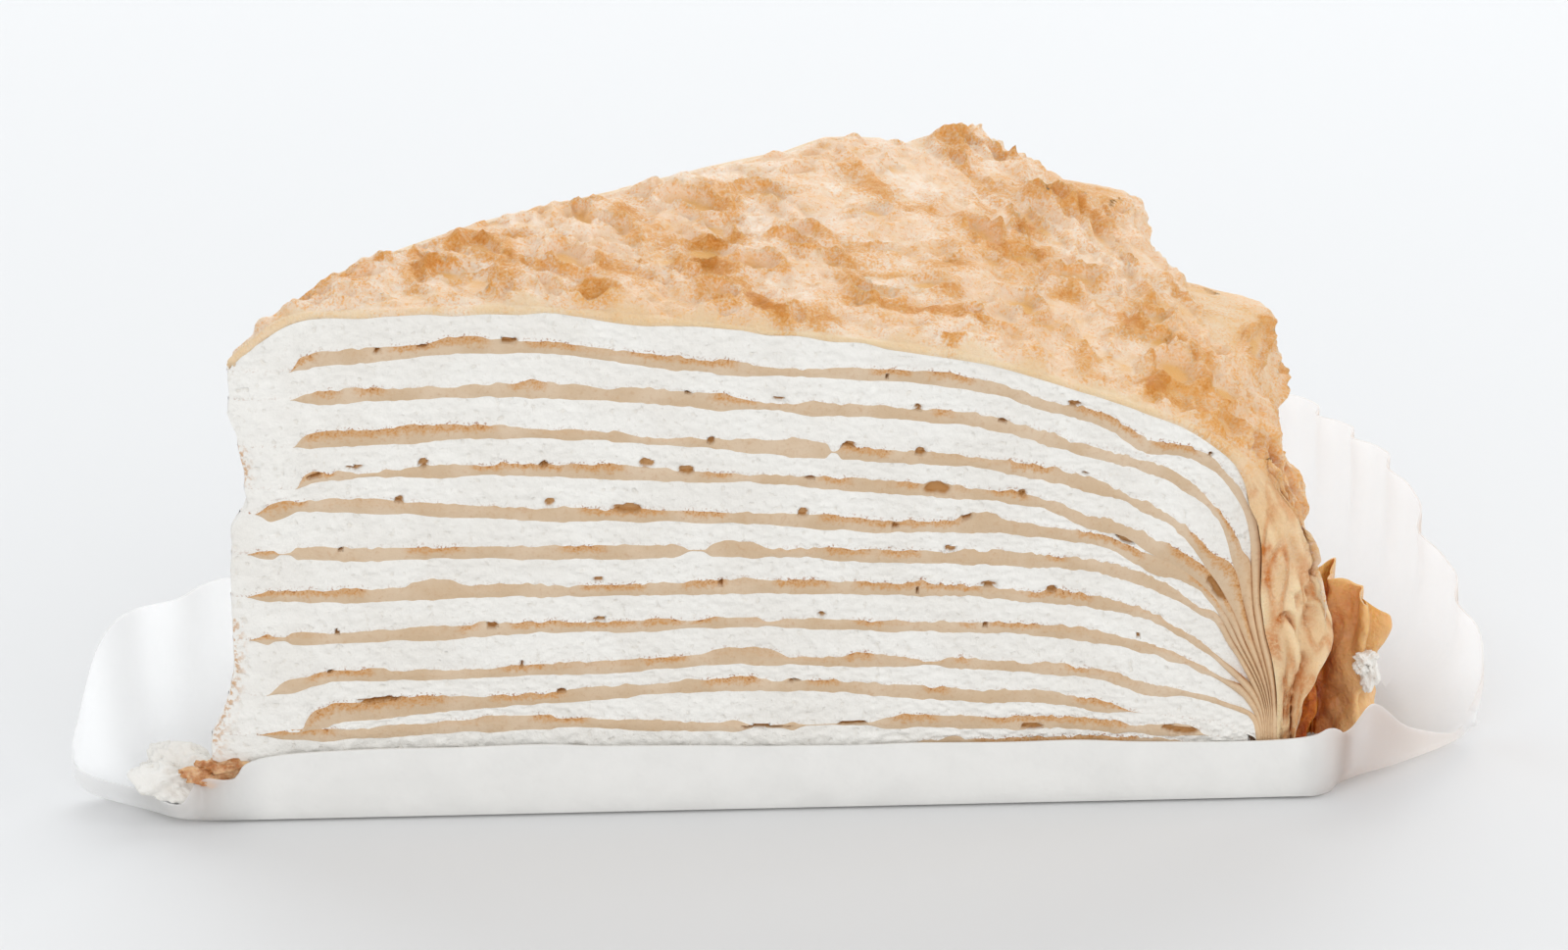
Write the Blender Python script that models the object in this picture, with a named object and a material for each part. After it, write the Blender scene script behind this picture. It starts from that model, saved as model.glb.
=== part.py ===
"""A wedge cut from a crepe cake, standing in the pleated paper cup it was served in.

Twelve thin crepes and thirteen layers of cream lie between a browned top crepe, which
drapes over the round rim, and the paper. All the layers run from the tip of the wedge to
the rim, where they bend down and are gathered into a bundle. The front cut face is the
plane y = 0 of the wedge's own frame, whose x runs from the tip to the rim. Lengths are
written in centimetres and scaled to metres as each mesh is finished.
"""

import math

import bmesh
import bpy
from mathutils import Vector

CM = 0.01
TIP_AT = (-5.607, -4.125)  # the wedge's tip, which puts the middle of the whole at the origin

# The wedge, in centimetres
WEDGE = math.radians(39.0)
STATIONS = (1.0, 3.0, 5.0, 7.0, 9.0)  # distances from the tip at which layer heights are given
BEND = 6.5  # where the layers start to bend down to the rim
TIP_CUT = 0.15  # the blunt end of the tip
FOOT = 0.45  # height that every bending layer falls towards
GAP = 0.03
CREPE_HALF = 0.065  # half a crepe's thickness where it lies flat
CREPE_HALF_RIM = 0.018  # and where the crepes are gathered at the rim
THINNING = (1.25, 1.75)  # the stretch of along over which they thin
CRUST_HALF = 0.07
# How far from the tip the top crepe starts to curl down, and how far it curls
CRUST_DROOP = (0.95, 0.55)
CRUST_TUCK = 0.22  # how far its lower edge is gathered inwards
TUCK_HEIGHTS = (1.9, 0.7)  # between these heights
BASE_HEIGHT = 0.07  # underside of the lowest cream

# The back of the slice stands taller and squarer than the front, which sags at its rim
BACK_RISE = 0.020  # share gained for each centimetre from the tip
BACK_SQUARENESS = 1.2
BACK_RIM = 0.15
BACK_FROM = 0.45  # the share of the wedge's angle over which the sag is lost

# Each crepe: tip, heights at the stations, rim radius, degrees of bend at its edge, squareness
CRUST = (0.15, (5.37, 5.38, 5.15, 4.87, 4.42), 10.66, 90, 3.60)
CREPES = (
    (0.72, (4.89, 4.96, 4.71, 4.55, 4.15), 10.31, 76, 4.20),
    (0.72, (4.47, 4.53, 4.37, 4.18, 3.90), 10.285, 76, 3.40),
    (0.72, (4.05, 4.08, 3.92, 3.72, 3.60), 10.26, 76, 2.85),
    (0.72, (3.66, 3.69, 3.58, 3.39, 3.34), 10.235, 83, 2.70),
    (0.30, (3.38, 3.24, 3.15, 3.01, 2.98), 10.20, 83, 2.55),
    (0.30, (2.86, 2.82, 2.81, 2.70, 2.72), 10.15, 83, 2.50),
    (0.30, (2.41, 2.42, 2.42, 2.34, 2.36), 10.10, 90, 2.45),
    (0.30, (1.95, 2.00, 2.02, 1.96, 1.96), 10.05, 90, 2.40),
    (0.46, (1.55, 1.57, 1.63, 1.55, 1.48), 9.99, 90, 2.35),
    (0.72, (1.14, 1.26, 1.35, 1.22, 1.08), 9.93, 40, 2.35),
    (0.46, (0.92, 1.00, 0.90, 0.92, 0.84), 9.86, 62, 2.35),
    (0.46, (0.44, 0.44, 0.48, 0.64, 0.68), 9.80, 62, 2.35),
)
# Degrees of bend at which each cream layer runs out between its two crepes
CREAM_ENDS = (62, 70, 62, 54, 40, 62, 76, 70, 76, 83, 83, 83, 83)
# Every layer is stepped at these radii from the tip, then at these degrees of bend, so that
# neighbours' facets lie side by side. A crepe's tip and edge are among them.
RADII = (0.15, 0.30, 0.46, 0.72, 1.6, 3.0, 4.8, 6.5)
BENDS = (20, 40, 54, 62, 70, 76, 83, 90)
ACROSS = 3  # steps from the front cut to the back cut
NEARBY = 0.01  # how far aside a curve is looked at to find its direction

# Folds where the draped top crepe stands out: place across, height, reach, half sizes of both
RUFFLES = (
    (0.03, 2.85, 0.16, 0.06, 0.35),
    (0.42, 3.85, 0.55, 0.085, 0.50),
    (0.77, 4.30, 0.50, 0.080, 0.45),
)
RUFFLE_RADII = (9.4, 10.3)  # they rise between these distances from the tip
RIM_WAVES = 6.5
RIM_WAVE_PHASE = 1.0
RIM_WAVE_DEPTH = 0.10
RIM_WAVE_HEIGHTS = (4.6, 3.2)  # the waves deepen between these heights
CRUST_BENDS = (10, 20, 30, 40, 47, 54, 62, 70, 76, 83, 90)
CRUST_ACROSS = 18

# The browned fold of crepe behind the front of the rim: plan points and heights of its frill
FLAP_PATH = (
    (10.90, 0.86, 2.20),
    (10.93, 1.36, 2.28),
    (11.12, 1.34, 2.10),
    (11.36, 1.02, 1.75),
    (11.50, 1.34, 1.55),
    (11.28, 1.86, 1.40),
    (10.98, 2.36, 1.25),
)
FLAP_THICK = 0.12
FLAP_FOOT = 0.12
FLAP_FRILL = 0.07
FLAP_FRILL_TURN = 40  # radians of frill from end to end
FLAP_STEPS = (20, 3)

# The paper: outline of its flat base and, for each point, where the wall's edge above it stands
PAPER_THICK = 0.04
PLEAT_DEPTH = 0.07
PAPER_STATIONS = (
    # base x, y    edge x, y, z         steps to the next, pleated or plain
    ((-0.20, -0.075), (-0.25, -0.075, 0.42), 3, 0),
    ((0.40, -0.075), (0.40, -0.075, 0.76), 3, 0),
    ((3.00, -0.075), (3.00, -0.075, 0.77), 4, 0),
    ((7.00, -0.075), (7.00, -0.075, 0.71), 3, 0),
    ((10.30, -0.075), (10.30, -0.075, 0.68), 2, 0),
    ((10.90, 0.02), (10.95, -0.12, 0.80), 2, 0),
    ((11.12, 0.28), (11.16, 0.10, 0.64), 2, 0),
    ((11.35, 0.46), (11.42, 0.10, 0.93), 3, 0),
    ((11.62, 0.66), (11.86, 0.45, 0.52), 4, 0),
    ((11.95, 1.00), (12.62, 1.24, 0.14), 4, 1),
    ((11.98, 1.30), (12.72, 1.40, 0.60), 4, 1),
    ((12.00, 1.60), (12.72, 1.62, 1.14), 6, 1),
    ((11.98, 2.40), (12.44, 2.70, 1.62), 6, 1),
    ((11.78, 3.60), (12.10, 3.90, 2.10), 6, 1),
    ((11.40, 4.90), (11.68, 5.15, 2.05), 6, 1),
    ((10.70, 6.40), (11.00, 6.90, 1.90), 6, 1),
    ((9.20, 7.70), (9.30, 8.30, 1.80), 8, 1),
    ((6.60, 5.95), (6.30, 6.45, 1.70), 8, 1),
    ((4.20, 3.90), (3.85, 4.35, 1.65), 8, 1),
    ((1.90, 2.00), (1.50, 2.55, 1.65), 6, 1),
    ((0.20, 1.20), (-0.10, 2.00, 1.74), 6, 1),
    ((-0.60, 1.00), (-0.85, 1.42, 1.72), 3, 1),
    ((-1.00, 0.80), (-1.28, 0.90, 1.66), 3, 0),
    ((-1.28, 0.66), (-1.56, 0.80, 0.86), 3, 0),
    ((-1.30, 0.54), (-1.62, 0.66, 0.10), 3, 0),
    ((-0.85, 0.26), (-0.95, 0.24, 0.09), 2, 0),
    ((-0.45, 0.00), (-0.50, -0.05, 0.12), 2, 0),
)
WALL_ROWS = 3

# Loose bits at the tip: a torn scrap of crepe on a smear of cream
# middle           half sizes          phase of its waves
CRUMB = ((-0.20, 0.16, 0.47), (0.28, 0.12, 0.13), 0.4)
SMEAR = ((-0.42, 0.62, 0.36), (0.46, 0.25, 0.27), 1.7)
LUMP_WAVE = (0.10, 3.1, 2.7)  # depth, and radians per half size in two directions

# Colour and roughness
CREPE_TAN = ((0.72, 0.56, 0.40), 0.6)
CREAM_WHITE = ((0.90, 0.88, 0.82), 0.7)
CRUST_GOLD = ((0.78, 0.52, 0.25), 0.6)
FLAP_AMBER = ((0.42, 0.17, 0.04), 0.5)
PAPER_WHITE = ((0.90, 0.90, 0.89), 0.7)


def smoothstep(low, high, value):
    share = min(max((value - low) / (high - low), 0.0), 1.0)
    return share * share * (3 - 2 * share)


def hermite(before, start, end, after, share):
    """A smooth curve through four evenly spaced values, between the middle two."""
    leave, arrive = (end - before) / 2, (after - start) / 2
    square, cube = share * share, share**3
    return (
        (2 * cube - 3 * square + 1) * start
        + (cube - 2 * square + share) * leave
        + (3 * square - 2 * cube) * end
        + (cube - square) * arrive
    )


def level(heights, radius):
    """The height that a layer would have at this radius if it didn't bend down."""
    pitch = STATIONS[1] - STATIONS[0]
    radius = min(max(radius, STATIONS[0]), STATIONS[-1])
    index = min(int((radius - STATIONS[0]) / pitch), len(STATIONS) - 2)
    around = [heights[min(max(index + step, 0), len(heights) - 1)] for step in (-1, 0, 1, 2)]
    return hermite(*around, (radius - STATIONS[index]) / pitch)


def layer_point(layer, along, across):
    """(radius, height) on a layer's middle line: flat to BEND, then a squarish quarter turn.

    along runs over 0..1 on the flat part and 1..2 on the bend.
    """
    _, heights, rim, _, squareness = layer
    back = smoothstep(0.0, BACK_FROM, across)
    power = 2 / (squareness + BACK_SQUARENESS * back)
    rim += BACK_RIM * back
    if along <= 1:
        radius, share = TIP_CUT + (BEND - TIP_CUT) * along, 1.0
    else:
        turn = math.radians(90 * (along - 1))
        radius = BEND + (rim - BEND) * math.sin(turn) ** power
        share = max(math.cos(turn), 0.0) ** power
    height = level(heights, radius) * (1 + BACK_RISE * radius * across)
    if layer is CRUST:
        start, depth = CRUST_DROOP
        height -= depth * max(1 - radius / start, 0.0) ** 2
    return radius, FOOT + (height - FOOT) * share


def half_thickness(along):
    return CREPE_HALF + (CREPE_HALF_RIM - CREPE_HALF) * smoothstep(*THINNING, along)


def offset_point(layer, along, across, distance):
    """The point this far above the middle line, square to it."""
    radius, height = layer_point(layer, along, across)
    before = layer_point(layer, max(along - NEARBY, 0), across)
    after = layer_point(layer, min(along + NEARBY, 2), across)
    run, fall = after[0] - before[0], after[1] - before[1]
    length = math.hypot(run, fall)
    return radius - distance * fall / length, height + distance * run / length


def wedge_point(radius, height, across):
    angle = WEDGE * across
    return Vector((radius * math.cos(angle), radius * math.sin(angle), height))


def along_of_radius(radius):
    return (radius - TIP_CUT) / (BEND - TIP_CUT)


def material(name, colour, roughness):
    made = bpy.data.materials.new(name)
    made.use_nodes = True
    shader = made.node_tree.nodes["Principled BSDF"]
    shader.inputs["Base Color"].default_value = (*colour, 1)
    shader.inputs["Roughness"].default_value = roughness
    shader.inputs["Metallic"].default_value = 0.0
    made.diffuse_color = (*colour, 1)
    return made


def finish(bm, name, surface):
    """Scales a mesh drawn in centimetres, stands it in its place and makes it an object."""
    bmesh.ops.recalc_face_normals(bm, faces=bm.faces)
    bmesh.ops.translate(bm, verts=bm.verts, vec=(*TIP_AT, 0))
    bmesh.ops.scale(bm, verts=bm.verts, vec=(CM, CM, CM))
    mesh = bpy.data.meshes.new(name)
    bm.to_mesh(mesh)
    bm.free()
    mesh.materials.append(material(name, *surface))
    piece = bpy.data.objects.new(name, mesh)
    bpy.context.scene.collection.objects.link(piece)
    return piece


def slab(name, lower, upper, steps, finished):
    """A closed slab between two surfaces, each a function of the step along and across."""
    bm = bmesh.new()
    bmesh.ops.create_grid(bm, x_segments=steps[0], y_segments=steps[1], size=0.5)
    flat = set(bm.verts)
    raised = bmesh.ops.extrude_face_region(bm, geom=bm.faces[:])["geom"]
    flat.difference_update(item for item in raised if isinstance(item, bmesh.types.BMVert))
    for vert in bm.verts:
        step_along = round((vert.co.x + 0.5) * steps[0])
        step_across = round((vert.co.y + 0.5) * steps[1])
        side = lower if vert in flat else upper
        vert.co = side(step_along, step_across / steps[1])
    return finish(bm, name, finished)


def steps_between(radius, bend):
    """The shared steps from a radius near the tip to a bend at the rim, as values of along."""
    flat = [along_of_radius(r) for r in RADII if r >= radius]
    return flat + [1 + b / 90 for b in BENDS if b <= bend]


def crepe(name, layer):
    alongs = steps_between(layer[0], layer[3])

    def surface(side):
        def at(step, across):
            away = side * half_thickness(alongs[step])
            return wedge_point(*offset_point(layer, alongs[step], across, away), across)

        return at

    steps = (len(alongs) - 1, ACROSS)
    return slab(name, surface(-1), surface(1), steps, CREPE_TAN)


def clearance(layer, along):
    """How far a cream's face stays from the middle line of the crepe beside it.

    Beyond the crepe's two ends the creams on both sides of it close on each other.
    """
    alongs = steps_between(layer[0], layer[3])
    there = alongs[0] - NEARBY < along < alongs[-1] + NEARBY
    return half_thickness(along) + GAP if there else GAP / 2


def cream(name, above, below, end):
    alongs = steps_between(TIP_CUT, end)

    def top(step, across):
        away = CRUST_HALF + GAP if above is CRUST else clearance(above, alongs[step])
        return wedge_point(*offset_point(above, alongs[step], across, -away), across)

    def bottom(step, across):
        along = alongs[step]
        if below is None:
            radius, _ = layer_point(above, along, across)
            return wedge_point(radius, BASE_HEIGHT, across)
        away = clearance(below, along)
        return wedge_point(*offset_point(below, along, across, away), across)

    return slab(name, bottom, top, (len(alongs) - 1, ACROSS), CREAM_WHITE)


def ruffle(across, height):
    """How far the draped crepe stands out from its plain curve."""
    reach = 0.0
    for place, middle, depth, half_across, half_height in RUFFLES:
        side = (across - place) / half_across
        up = (height - middle) / half_height
        reach += depth * math.exp(-side * side - up**4)
    waves = (1 + math.sin(2 * math.pi * RIM_WAVES * across + RIM_WAVE_PHASE)) / 2
    return reach + RIM_WAVE_DEPTH * waves * smoothstep(*RIM_WAVE_HEIGHTS, height)


def crust():
    alongs = steps_between(CRUST[0], 0) + [1 + bend / 90 for bend in CRUST_BENDS]

    def surface(side):
        def at(step, across):
            radius, height = offset_point(CRUST, alongs[step], across, side * CRUST_HALF)
            radius += ruffle(across, height) * smoothstep(*RUFFLE_RADII, radius)
            radius -= CRUST_TUCK * smoothstep(*TUCK_HEIGHTS, height)
            return wedge_point(radius, height, across)

        return at

    steps = (len(alongs) - 1, CRUST_ACROSS)
    return slab("crust", surface(-1), surface(1), steps, CRUST_GOLD)


def spline(points, share):
    """A point on the smooth curve through these points, open at both ends."""
    place = share * (len(points) - 1)
    index = min(int(place), len(points) - 2)
    around = [points[min(max(index + step, 0), len(points) - 1)] for step in (-1, 0, 1, 2)]
    return [hermite(*values, place - index) for values in zip(*around)]


def rim_flap():
    """A curled strip of crepe on edge, its upper edge frilled."""
    def surface(side):
        def at(step, up):
            u = step / FLAP_STEPS[0]
            x, y, top = spline(FLAP_PATH, u)
            ahead = spline(FLAP_PATH, min(u + NEARBY, 1))
            behind = spline(FLAP_PATH, max(u - NEARBY, 0))
            run = Vector((ahead[0] - behind[0], ahead[1] - behind[1])).normalized()
            top += FLAP_FRILL * math.sin(u * FLAP_FRILL_TURN)
            away = side * FLAP_THICK / 2
            height = FLAP_FOOT + (top - FLAP_FOOT) * up
            return Vector((x - run.y * away, y + run.x * away, height))

        return at

    return slab("rim_flap", surface(-1), surface(1), FLAP_STEPS, FLAP_AMBER)


def paper_outline():
    """The wall's foot and edge at every step round the paper, and how pleated it is there."""
    count = len(PAPER_STATIONS)
    rings = []
    pleat = 0
    for index, (_, _, steps, pleated) in enumerate(PAPER_STATIONS):
        around = [PAPER_STATIONS[(index + step) % count] for step in (-1, 0, 1, 2)]
        for step in range(steps):
            share = step / steps
            base = [hermite(*values, share) for values in zip(*(s[0] for s in around))]
            edge = [hermite(*values, share) for values in zip(*(s[1] for s in around))]
            lean = (-1) ** pleat * PLEAT_DEPTH * pleated
            pleat += 1
            rings.append((Vector((*base, 0)), Vector(edge), lean))
    return rings


def paper():
    """One sheet: a flat base and a wall folded up all round it, pleated but for the front."""
    outline = paper_outline()
    count = len(outline)
    bm = bmesh.new()
    rings = []
    for row in range(WALL_ROWS + 1):
        share = row / WALL_ROWS
        ring = []
        for index, (base, edge, lean) in enumerate(outline):
            run = outline[(index + 1) % count][1] - outline[index - 1][1]
            out = Vector((run.y, -run.x, 0)).normalized()
            ring.append(bm.verts.new(base.lerp(edge, share) + out * lean * share))
        rings.append(ring)
    bm.faces.new(rings[0][::-1])
    for lower, higher in zip(rings, rings[1:]):
        for index in range(count):
            after = (index + 1) % count
            bm.faces.new((lower[index], lower[after], higher[after], higher[index]))
    bmesh.ops.recalc_face_normals(bm, faces=bm.faces)
    if bm.faces[0].normal.z > 0:
        bmesh.ops.reverse_faces(bm, faces=bm.faces)
    bmesh.ops.solidify(bm, geom=bm.faces[:], thickness=PAPER_THICK)
    bmesh.ops.triangulate(bm, faces=bm.faces)
    return finish(bm, "paper", PAPER_WHITE)


def lump(name, shape, finished):
    """An uneven blob: a ball with shallow waves pressed into it."""
    middle, half, phase = shape
    depth, across, back = LUMP_WAVE
    bm = bmesh.new()
    bmesh.ops.create_icosphere(bm, subdivisions=2, radius=1.0)
    for vert in bm.verts:
        co = vert.co
        wave = 1 + depth * math.sin(across * co.x + phase) * math.cos(back * co.y - phase)
        vert.co = Vector([middle[i] + half[i] * co[i] * wave for i in range(3)])
    return finish(bm, name, finished)


def main():
    for old in list(bpy.data.objects):
        bpy.data.objects.remove(old)
    paper()
    crust()
    for number, layer in enumerate(CREPES, 1):
        crepe(f"crepe_{number:02d}", layer)
    neighbours = (CRUST, *CREPES, None)
    for number, end in enumerate(CREAM_ENDS, 1):
        cream(f"cream_{number:02d}", neighbours[number - 1], neighbours[number], end)
    rim_flap()
    lump("tip_crumb", CRUMB, CREPE_TAN)
    lump("tip_smear", SMEAR, CREAM_WHITE)


main()
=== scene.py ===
import math

import bmesh
import bpy
import numpy as np
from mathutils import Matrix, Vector


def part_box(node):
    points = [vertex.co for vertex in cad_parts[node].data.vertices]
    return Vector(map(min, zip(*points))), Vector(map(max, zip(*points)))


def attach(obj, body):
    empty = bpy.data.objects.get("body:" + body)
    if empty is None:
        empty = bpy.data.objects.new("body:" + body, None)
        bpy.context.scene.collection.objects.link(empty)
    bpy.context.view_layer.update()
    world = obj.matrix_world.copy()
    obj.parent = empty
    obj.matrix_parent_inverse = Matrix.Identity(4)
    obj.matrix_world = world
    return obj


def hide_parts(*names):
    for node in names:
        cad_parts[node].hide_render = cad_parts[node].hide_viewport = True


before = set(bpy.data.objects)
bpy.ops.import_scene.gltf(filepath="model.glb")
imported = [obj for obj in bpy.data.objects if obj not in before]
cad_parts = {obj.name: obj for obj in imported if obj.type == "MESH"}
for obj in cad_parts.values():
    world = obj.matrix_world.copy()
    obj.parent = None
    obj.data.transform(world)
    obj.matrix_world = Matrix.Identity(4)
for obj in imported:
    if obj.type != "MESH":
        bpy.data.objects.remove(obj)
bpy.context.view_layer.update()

# ---------------------------------------------------------------------------------------
# The crepes: twelve thin egg-batter pancakes, each laid on a layer of cream, drawn down over
# the round rim and gathered there. The knife has cut them, so they show as tan bands with
# browned, flecked upper edges, air holes where the cream bridged a blister, and torn tips.
# ---------------------------------------------------------------------------------------
CM = 0.01
WEDGE = math.radians(39.0)
TIP_CUT = 0.15  # the wedge's blunt tip, in centimetres from its point
low_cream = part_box("cream_13")[0]
POINT = (low_cream.x / CM - TIP_CUT * math.cos(WEDGE), low_cream.y / CM)

STATIONS = np.array((1.0, 3.0, 5.0, 7.0, 9.0))  # distances from the tip of the layers' heights
BEND = 6.5  # where the layers start to bend down to the rim
FOOT = 0.45
FOOT_HEIGHTS = (1.8, 0.75)  # between these heights the layers are drawn together under the edge
# The back cut stands taller and squarer than the front, which sags at its rim
BACK_RISE = (0.0065, 0.0014)  # share gained for each centimetre from the tip, and its own gain
BACK_SQUARENESS = 1.6
BACK_RIM = 0.15
CREPE_HALF = 0.065  # half a crepe's thickness where it lies flat
CREPE_HALF_RIM = 0.020  # and at the rim
CRUST_HALF = 0.065
HEM_INWARDS = 0.21  # the gathered hem is this much thicker on its inner side
CRUST_DROOP = (0.95, 0.68)  # how far from the tip the top crepe starts to curl down, and how far
BACK_DROOP = (1.5, 0.42)  # the same at the back, on top of that
HUMP_PLACES, HUMP = (7.3, 7.9, 8.3, 8.7, 9.0, 9.6), (0.0, 0.13, 0.12, 0.08, -0.04, 0.0)

# Each layer: tip, heights at the stations, rim radius, degrees of bend at its edge, squareness
CRUST = (0.15, (5.37, 5.38, 5.15, 4.87, 4.42), 10.66, 90, 3.60)
CREPES = (
    (0.72, (4.89, 4.96, 4.71, 4.55, 4.15), 10.31, 76, 4.20),
    (0.72, (4.47, 4.53, 4.37, 4.18, 3.90), 10.285, 76, 3.40),
    (0.72, (4.05, 4.08, 3.92, 3.72, 3.60), 10.26, 76, 2.85),
    (0.72, (3.66, 3.69, 3.58, 3.39, 3.34), 10.235, 83, 2.55),
    (0.30, (3.38, 3.24, 3.15, 3.01, 3.06), 10.21, 83, 2.80),
    (0.30, (2.86, 2.82, 2.81, 2.70, 2.76), 10.185, 83, 2.70),
    (0.30, (2.41, 2.42, 2.42, 2.34, 2.38), 10.16, 90, 2.50),
    (0.30, (1.95, 2.00, 2.02, 1.96, 1.96), 10.135, 90, 2.50),
    (0.46, (1.55, 1.57, 1.63, 1.55, 1.48), 10.11, 90, 2.55),
    (0.72, (1.14, 1.26, 1.35, 1.22, 1.08), 10.00, 40, 2.65),
    (0.46, (0.92, 1.00, 0.90, 0.92, 0.84), 9.86, 62, 3.20),
    (0.46, (0.44, 0.44, 0.48, 0.64, 0.68), 9.80, 62, 3.00),
)
CREPE_COUNT = len(CREPES)
FULL_BEND = 76  # a crepe that bends this many degrees or more runs to the foot of the rim
CREAM_ENDS = (62, 70, 62, 54, 40, 62, 76, 70, 76, 83, 83, 83, 83)

# How far each crepe's torn tip sags into the cream under it, and over what length
TIP_SAGS = {
    1: (0.13, 0.35), 3: (0.07, 0.3), 4: (0.12, 0.45), 5: (0.1, 0.5), 9: (0.2, 0.7), 10: (0.2, 0.4),
}
# Where a layer steps up or down on its way to the rim: crepe, place, reach, height
STEPS = (
    (1, 9.05, 0.35, -0.16), (1, 8.0, 0.3, -0.05), (2, 8.4, 0.6, -0.07), (4, 8.5, 0.25, -0.07),
    (5, 9.15, 0.3, -0.13), (5, 9.85, 0.15, 0.07), (6, 9.8, 0.12, 0.08), (9, 9.1, 0.25, -0.07),
    (10, 8.1, 0.4, 0.05),
)
# Where a crepe swells or thins: crepe, place, half length, growth above and below
SWELLS = (
    (1, 2.35, 0.25, 0.055, 0.0), (1, 4.2, 0.4, 0.02, 0.01), (1, 5.6, 0.5, -0.02, -0.01),
    (2, 0.3, 0.35, -0.05, -0.05), (2, 1.45, 0.2, 0.03, 0.0), (2, 3.05, 0.2, 0.03, 0.0),
    (2, 5.35, 0.25, -0.03, -0.02), (3, 4.35, 0.4, -0.03, -0.01), (3, 5.65, 0.22, 0.035, 0.02),
    (3, 5.97, 0.06, -0.07, -0.06), (3, 1.7, 0.8, 0.02, 0.0), (4, 1.55, 0.4, -0.035, -0.03),
    (4, 5.25, 0.3, -0.02, -0.02), (4, 0.85, 0.15, 0.04, -0.02), (5, 0.4, 0.25, 0.03, 0.06),
    (5, 7.42, 0.22, 0.09, 0.0), (5, 1.3, 0.3, 0.02, 0.0), (6, 4.6, 0.13, -0.06, -0.06),
    (6, 4.98, 0.2, 0.05, 0.0), (6, 5.45, 0.3, -0.035, -0.02), (6, 0.62, 0.08, -0.06, -0.06),
    (7, 2.05, 0.25, 0.085, 0.0), (7, 5.3, 0.6, 0.03, 0.0), (7, 7.9, 0.15, -0.03, 0.0),
    (8, 0.55, 0.08, -0.06, -0.05), (8, 5.35, 0.1, -0.04, -0.02), (8, 6.85, 0.2, -0.02, -0.02),
    (9, 5.05, 0.38, 0.06, 0.0), (9, 2.1, 0.5, -0.025, -0.01), (9, 5.65, 0.2, -0.04, -0.02),
    (9, 6.35, 0.22, 0.03, 0.0), (9, 6.95, 0.12, -0.04, -0.02), (10, 1.5, 0.7, 0.05, 0.03),
    (10, 5.0, 0.25, 0.03, 0.0), (10, 5.4, 0.1, -0.03, 0.0), (11, 5.3, 0.22, -0.05, -0.05),
    (11, 5.8, 0.18, -0.06, -0.06), (11, 6.18, 0.22, -0.04, -0.045), (11, 6.8, 0.2, 0.02, 0.0),
    (11, 2.7, 0.45, 0.03, 0.02), (11, 0.6, 0.25, 0.0, -0.03), (11, 9.45, 0.15, 0.05, 0.02),
)
# Air holes: crepe, place, height above the crepe's middle, half length, half height
HOLES = (
    (1, 1.97, 0.06, 0.06, 0.03), (1, 2.82, 0.08, 0.08, 0.03), (1, 8.3, 0.08, 0.07, 0.03),
    (1, 9.62, 0.07, 0.025, 0.025), (1, 1.55, 0.05, 0.04, 0.015), (1, 6.48, 0.0, 0.02, 0.03),
    (2, 4.53, 0.06, 0.03, 0.02), (2, 5.42, 0.05, 0.06, 0.02), (2, 6.7, 0.07, 0.045, 0.035),
    (2, 7.58, 0.06, 0.03, 0.02), (3, 4.75, 0.03, 0.03, 0.035), (3, 6.1, 0.09, 0.07, 0.03),
    (3, 6.75, 0.07, 0.055, 0.04), (3, 8.4, 0.1, 0.04, 0.02), (4, 0.9, 0.06, 0.08, 0.025),
    (4, 1.27, 0.09, 0.11, 0.015), (4, 1.95, 0.11, 0.06, 0.04), (4, 3.13, 0.07, 0.045, 0.03),
    (4, 4.12, 0.1, 0.08, 0.045), (4, 4.5, 0.05, 0.08, 0.05), (4, 5.7, 0.05, 0.05, 0.015),
    (4, 6.97, 0.04, 0.17, 0.07), (4, 7.8, 0.08, 0.04, 0.035), (4, 9.72, 0.07, 0.17, 0.05),
    (5, 1.7, 0.07, 0.05, 0.03), (5, 3.16, 0.11, 0.07, 0.06), (5, 3.92, 0.07, 0.17, 0.045),
    (5, 5.64, 0.08, 0.06, 0.045), (5, 6.56, 0.0, 0.03, 0.03), (5, 7.26, 0.11, 0.09, 0.02),
    (5, 8.78, 0.1, 0.12, 0.035), (6, 7.12, 0.08, 0.06, 0.03), (6, 1.12, 0.04, 0.02, 0.02),
    (7, 3.62, 0.1, 0.05, 0.025), (7, 4.86, 0.04, 0.025, 0.04), (7, 7.5, 0.07, 0.09, 0.025),
    (7, 8.1, 0.07, 0.05, 0.035), (7, 6.78, 0.0, 0.02, 0.02), (8, 1.05, 0.06, 0.03, 0.03),
    (8, 2.57, 0.07, 0.05, 0.03), (8, 3.64, 0.08, 0.09, 0.03), (8, 5.83, 0.1, 0.045, 0.035),
    (8, 7.45, 0.02, 0.03, 0.03), (8, 8.97, 0.1, 0.025, 0.02), (9, 2.87, 0.08, 0.02, 0.03),
    (9, 1.0, 0.05, 0.03, 0.02), (10, 1.45, 0.12, 0.25, 0.02), (10, 3.25, 0.06, 0.04, 0.02),
    (10, 5.55, 0.07, 0.06, 0.015), (11, 5.2, 0.0, 0.3, 0.01), (11, 6.15, 0.0, 0.2, 0.012),
    (11, 7.95, -0.04, 0.12, 0.03), (11, 9.45, 0.03, 0.18, 0.045),
)
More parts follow.
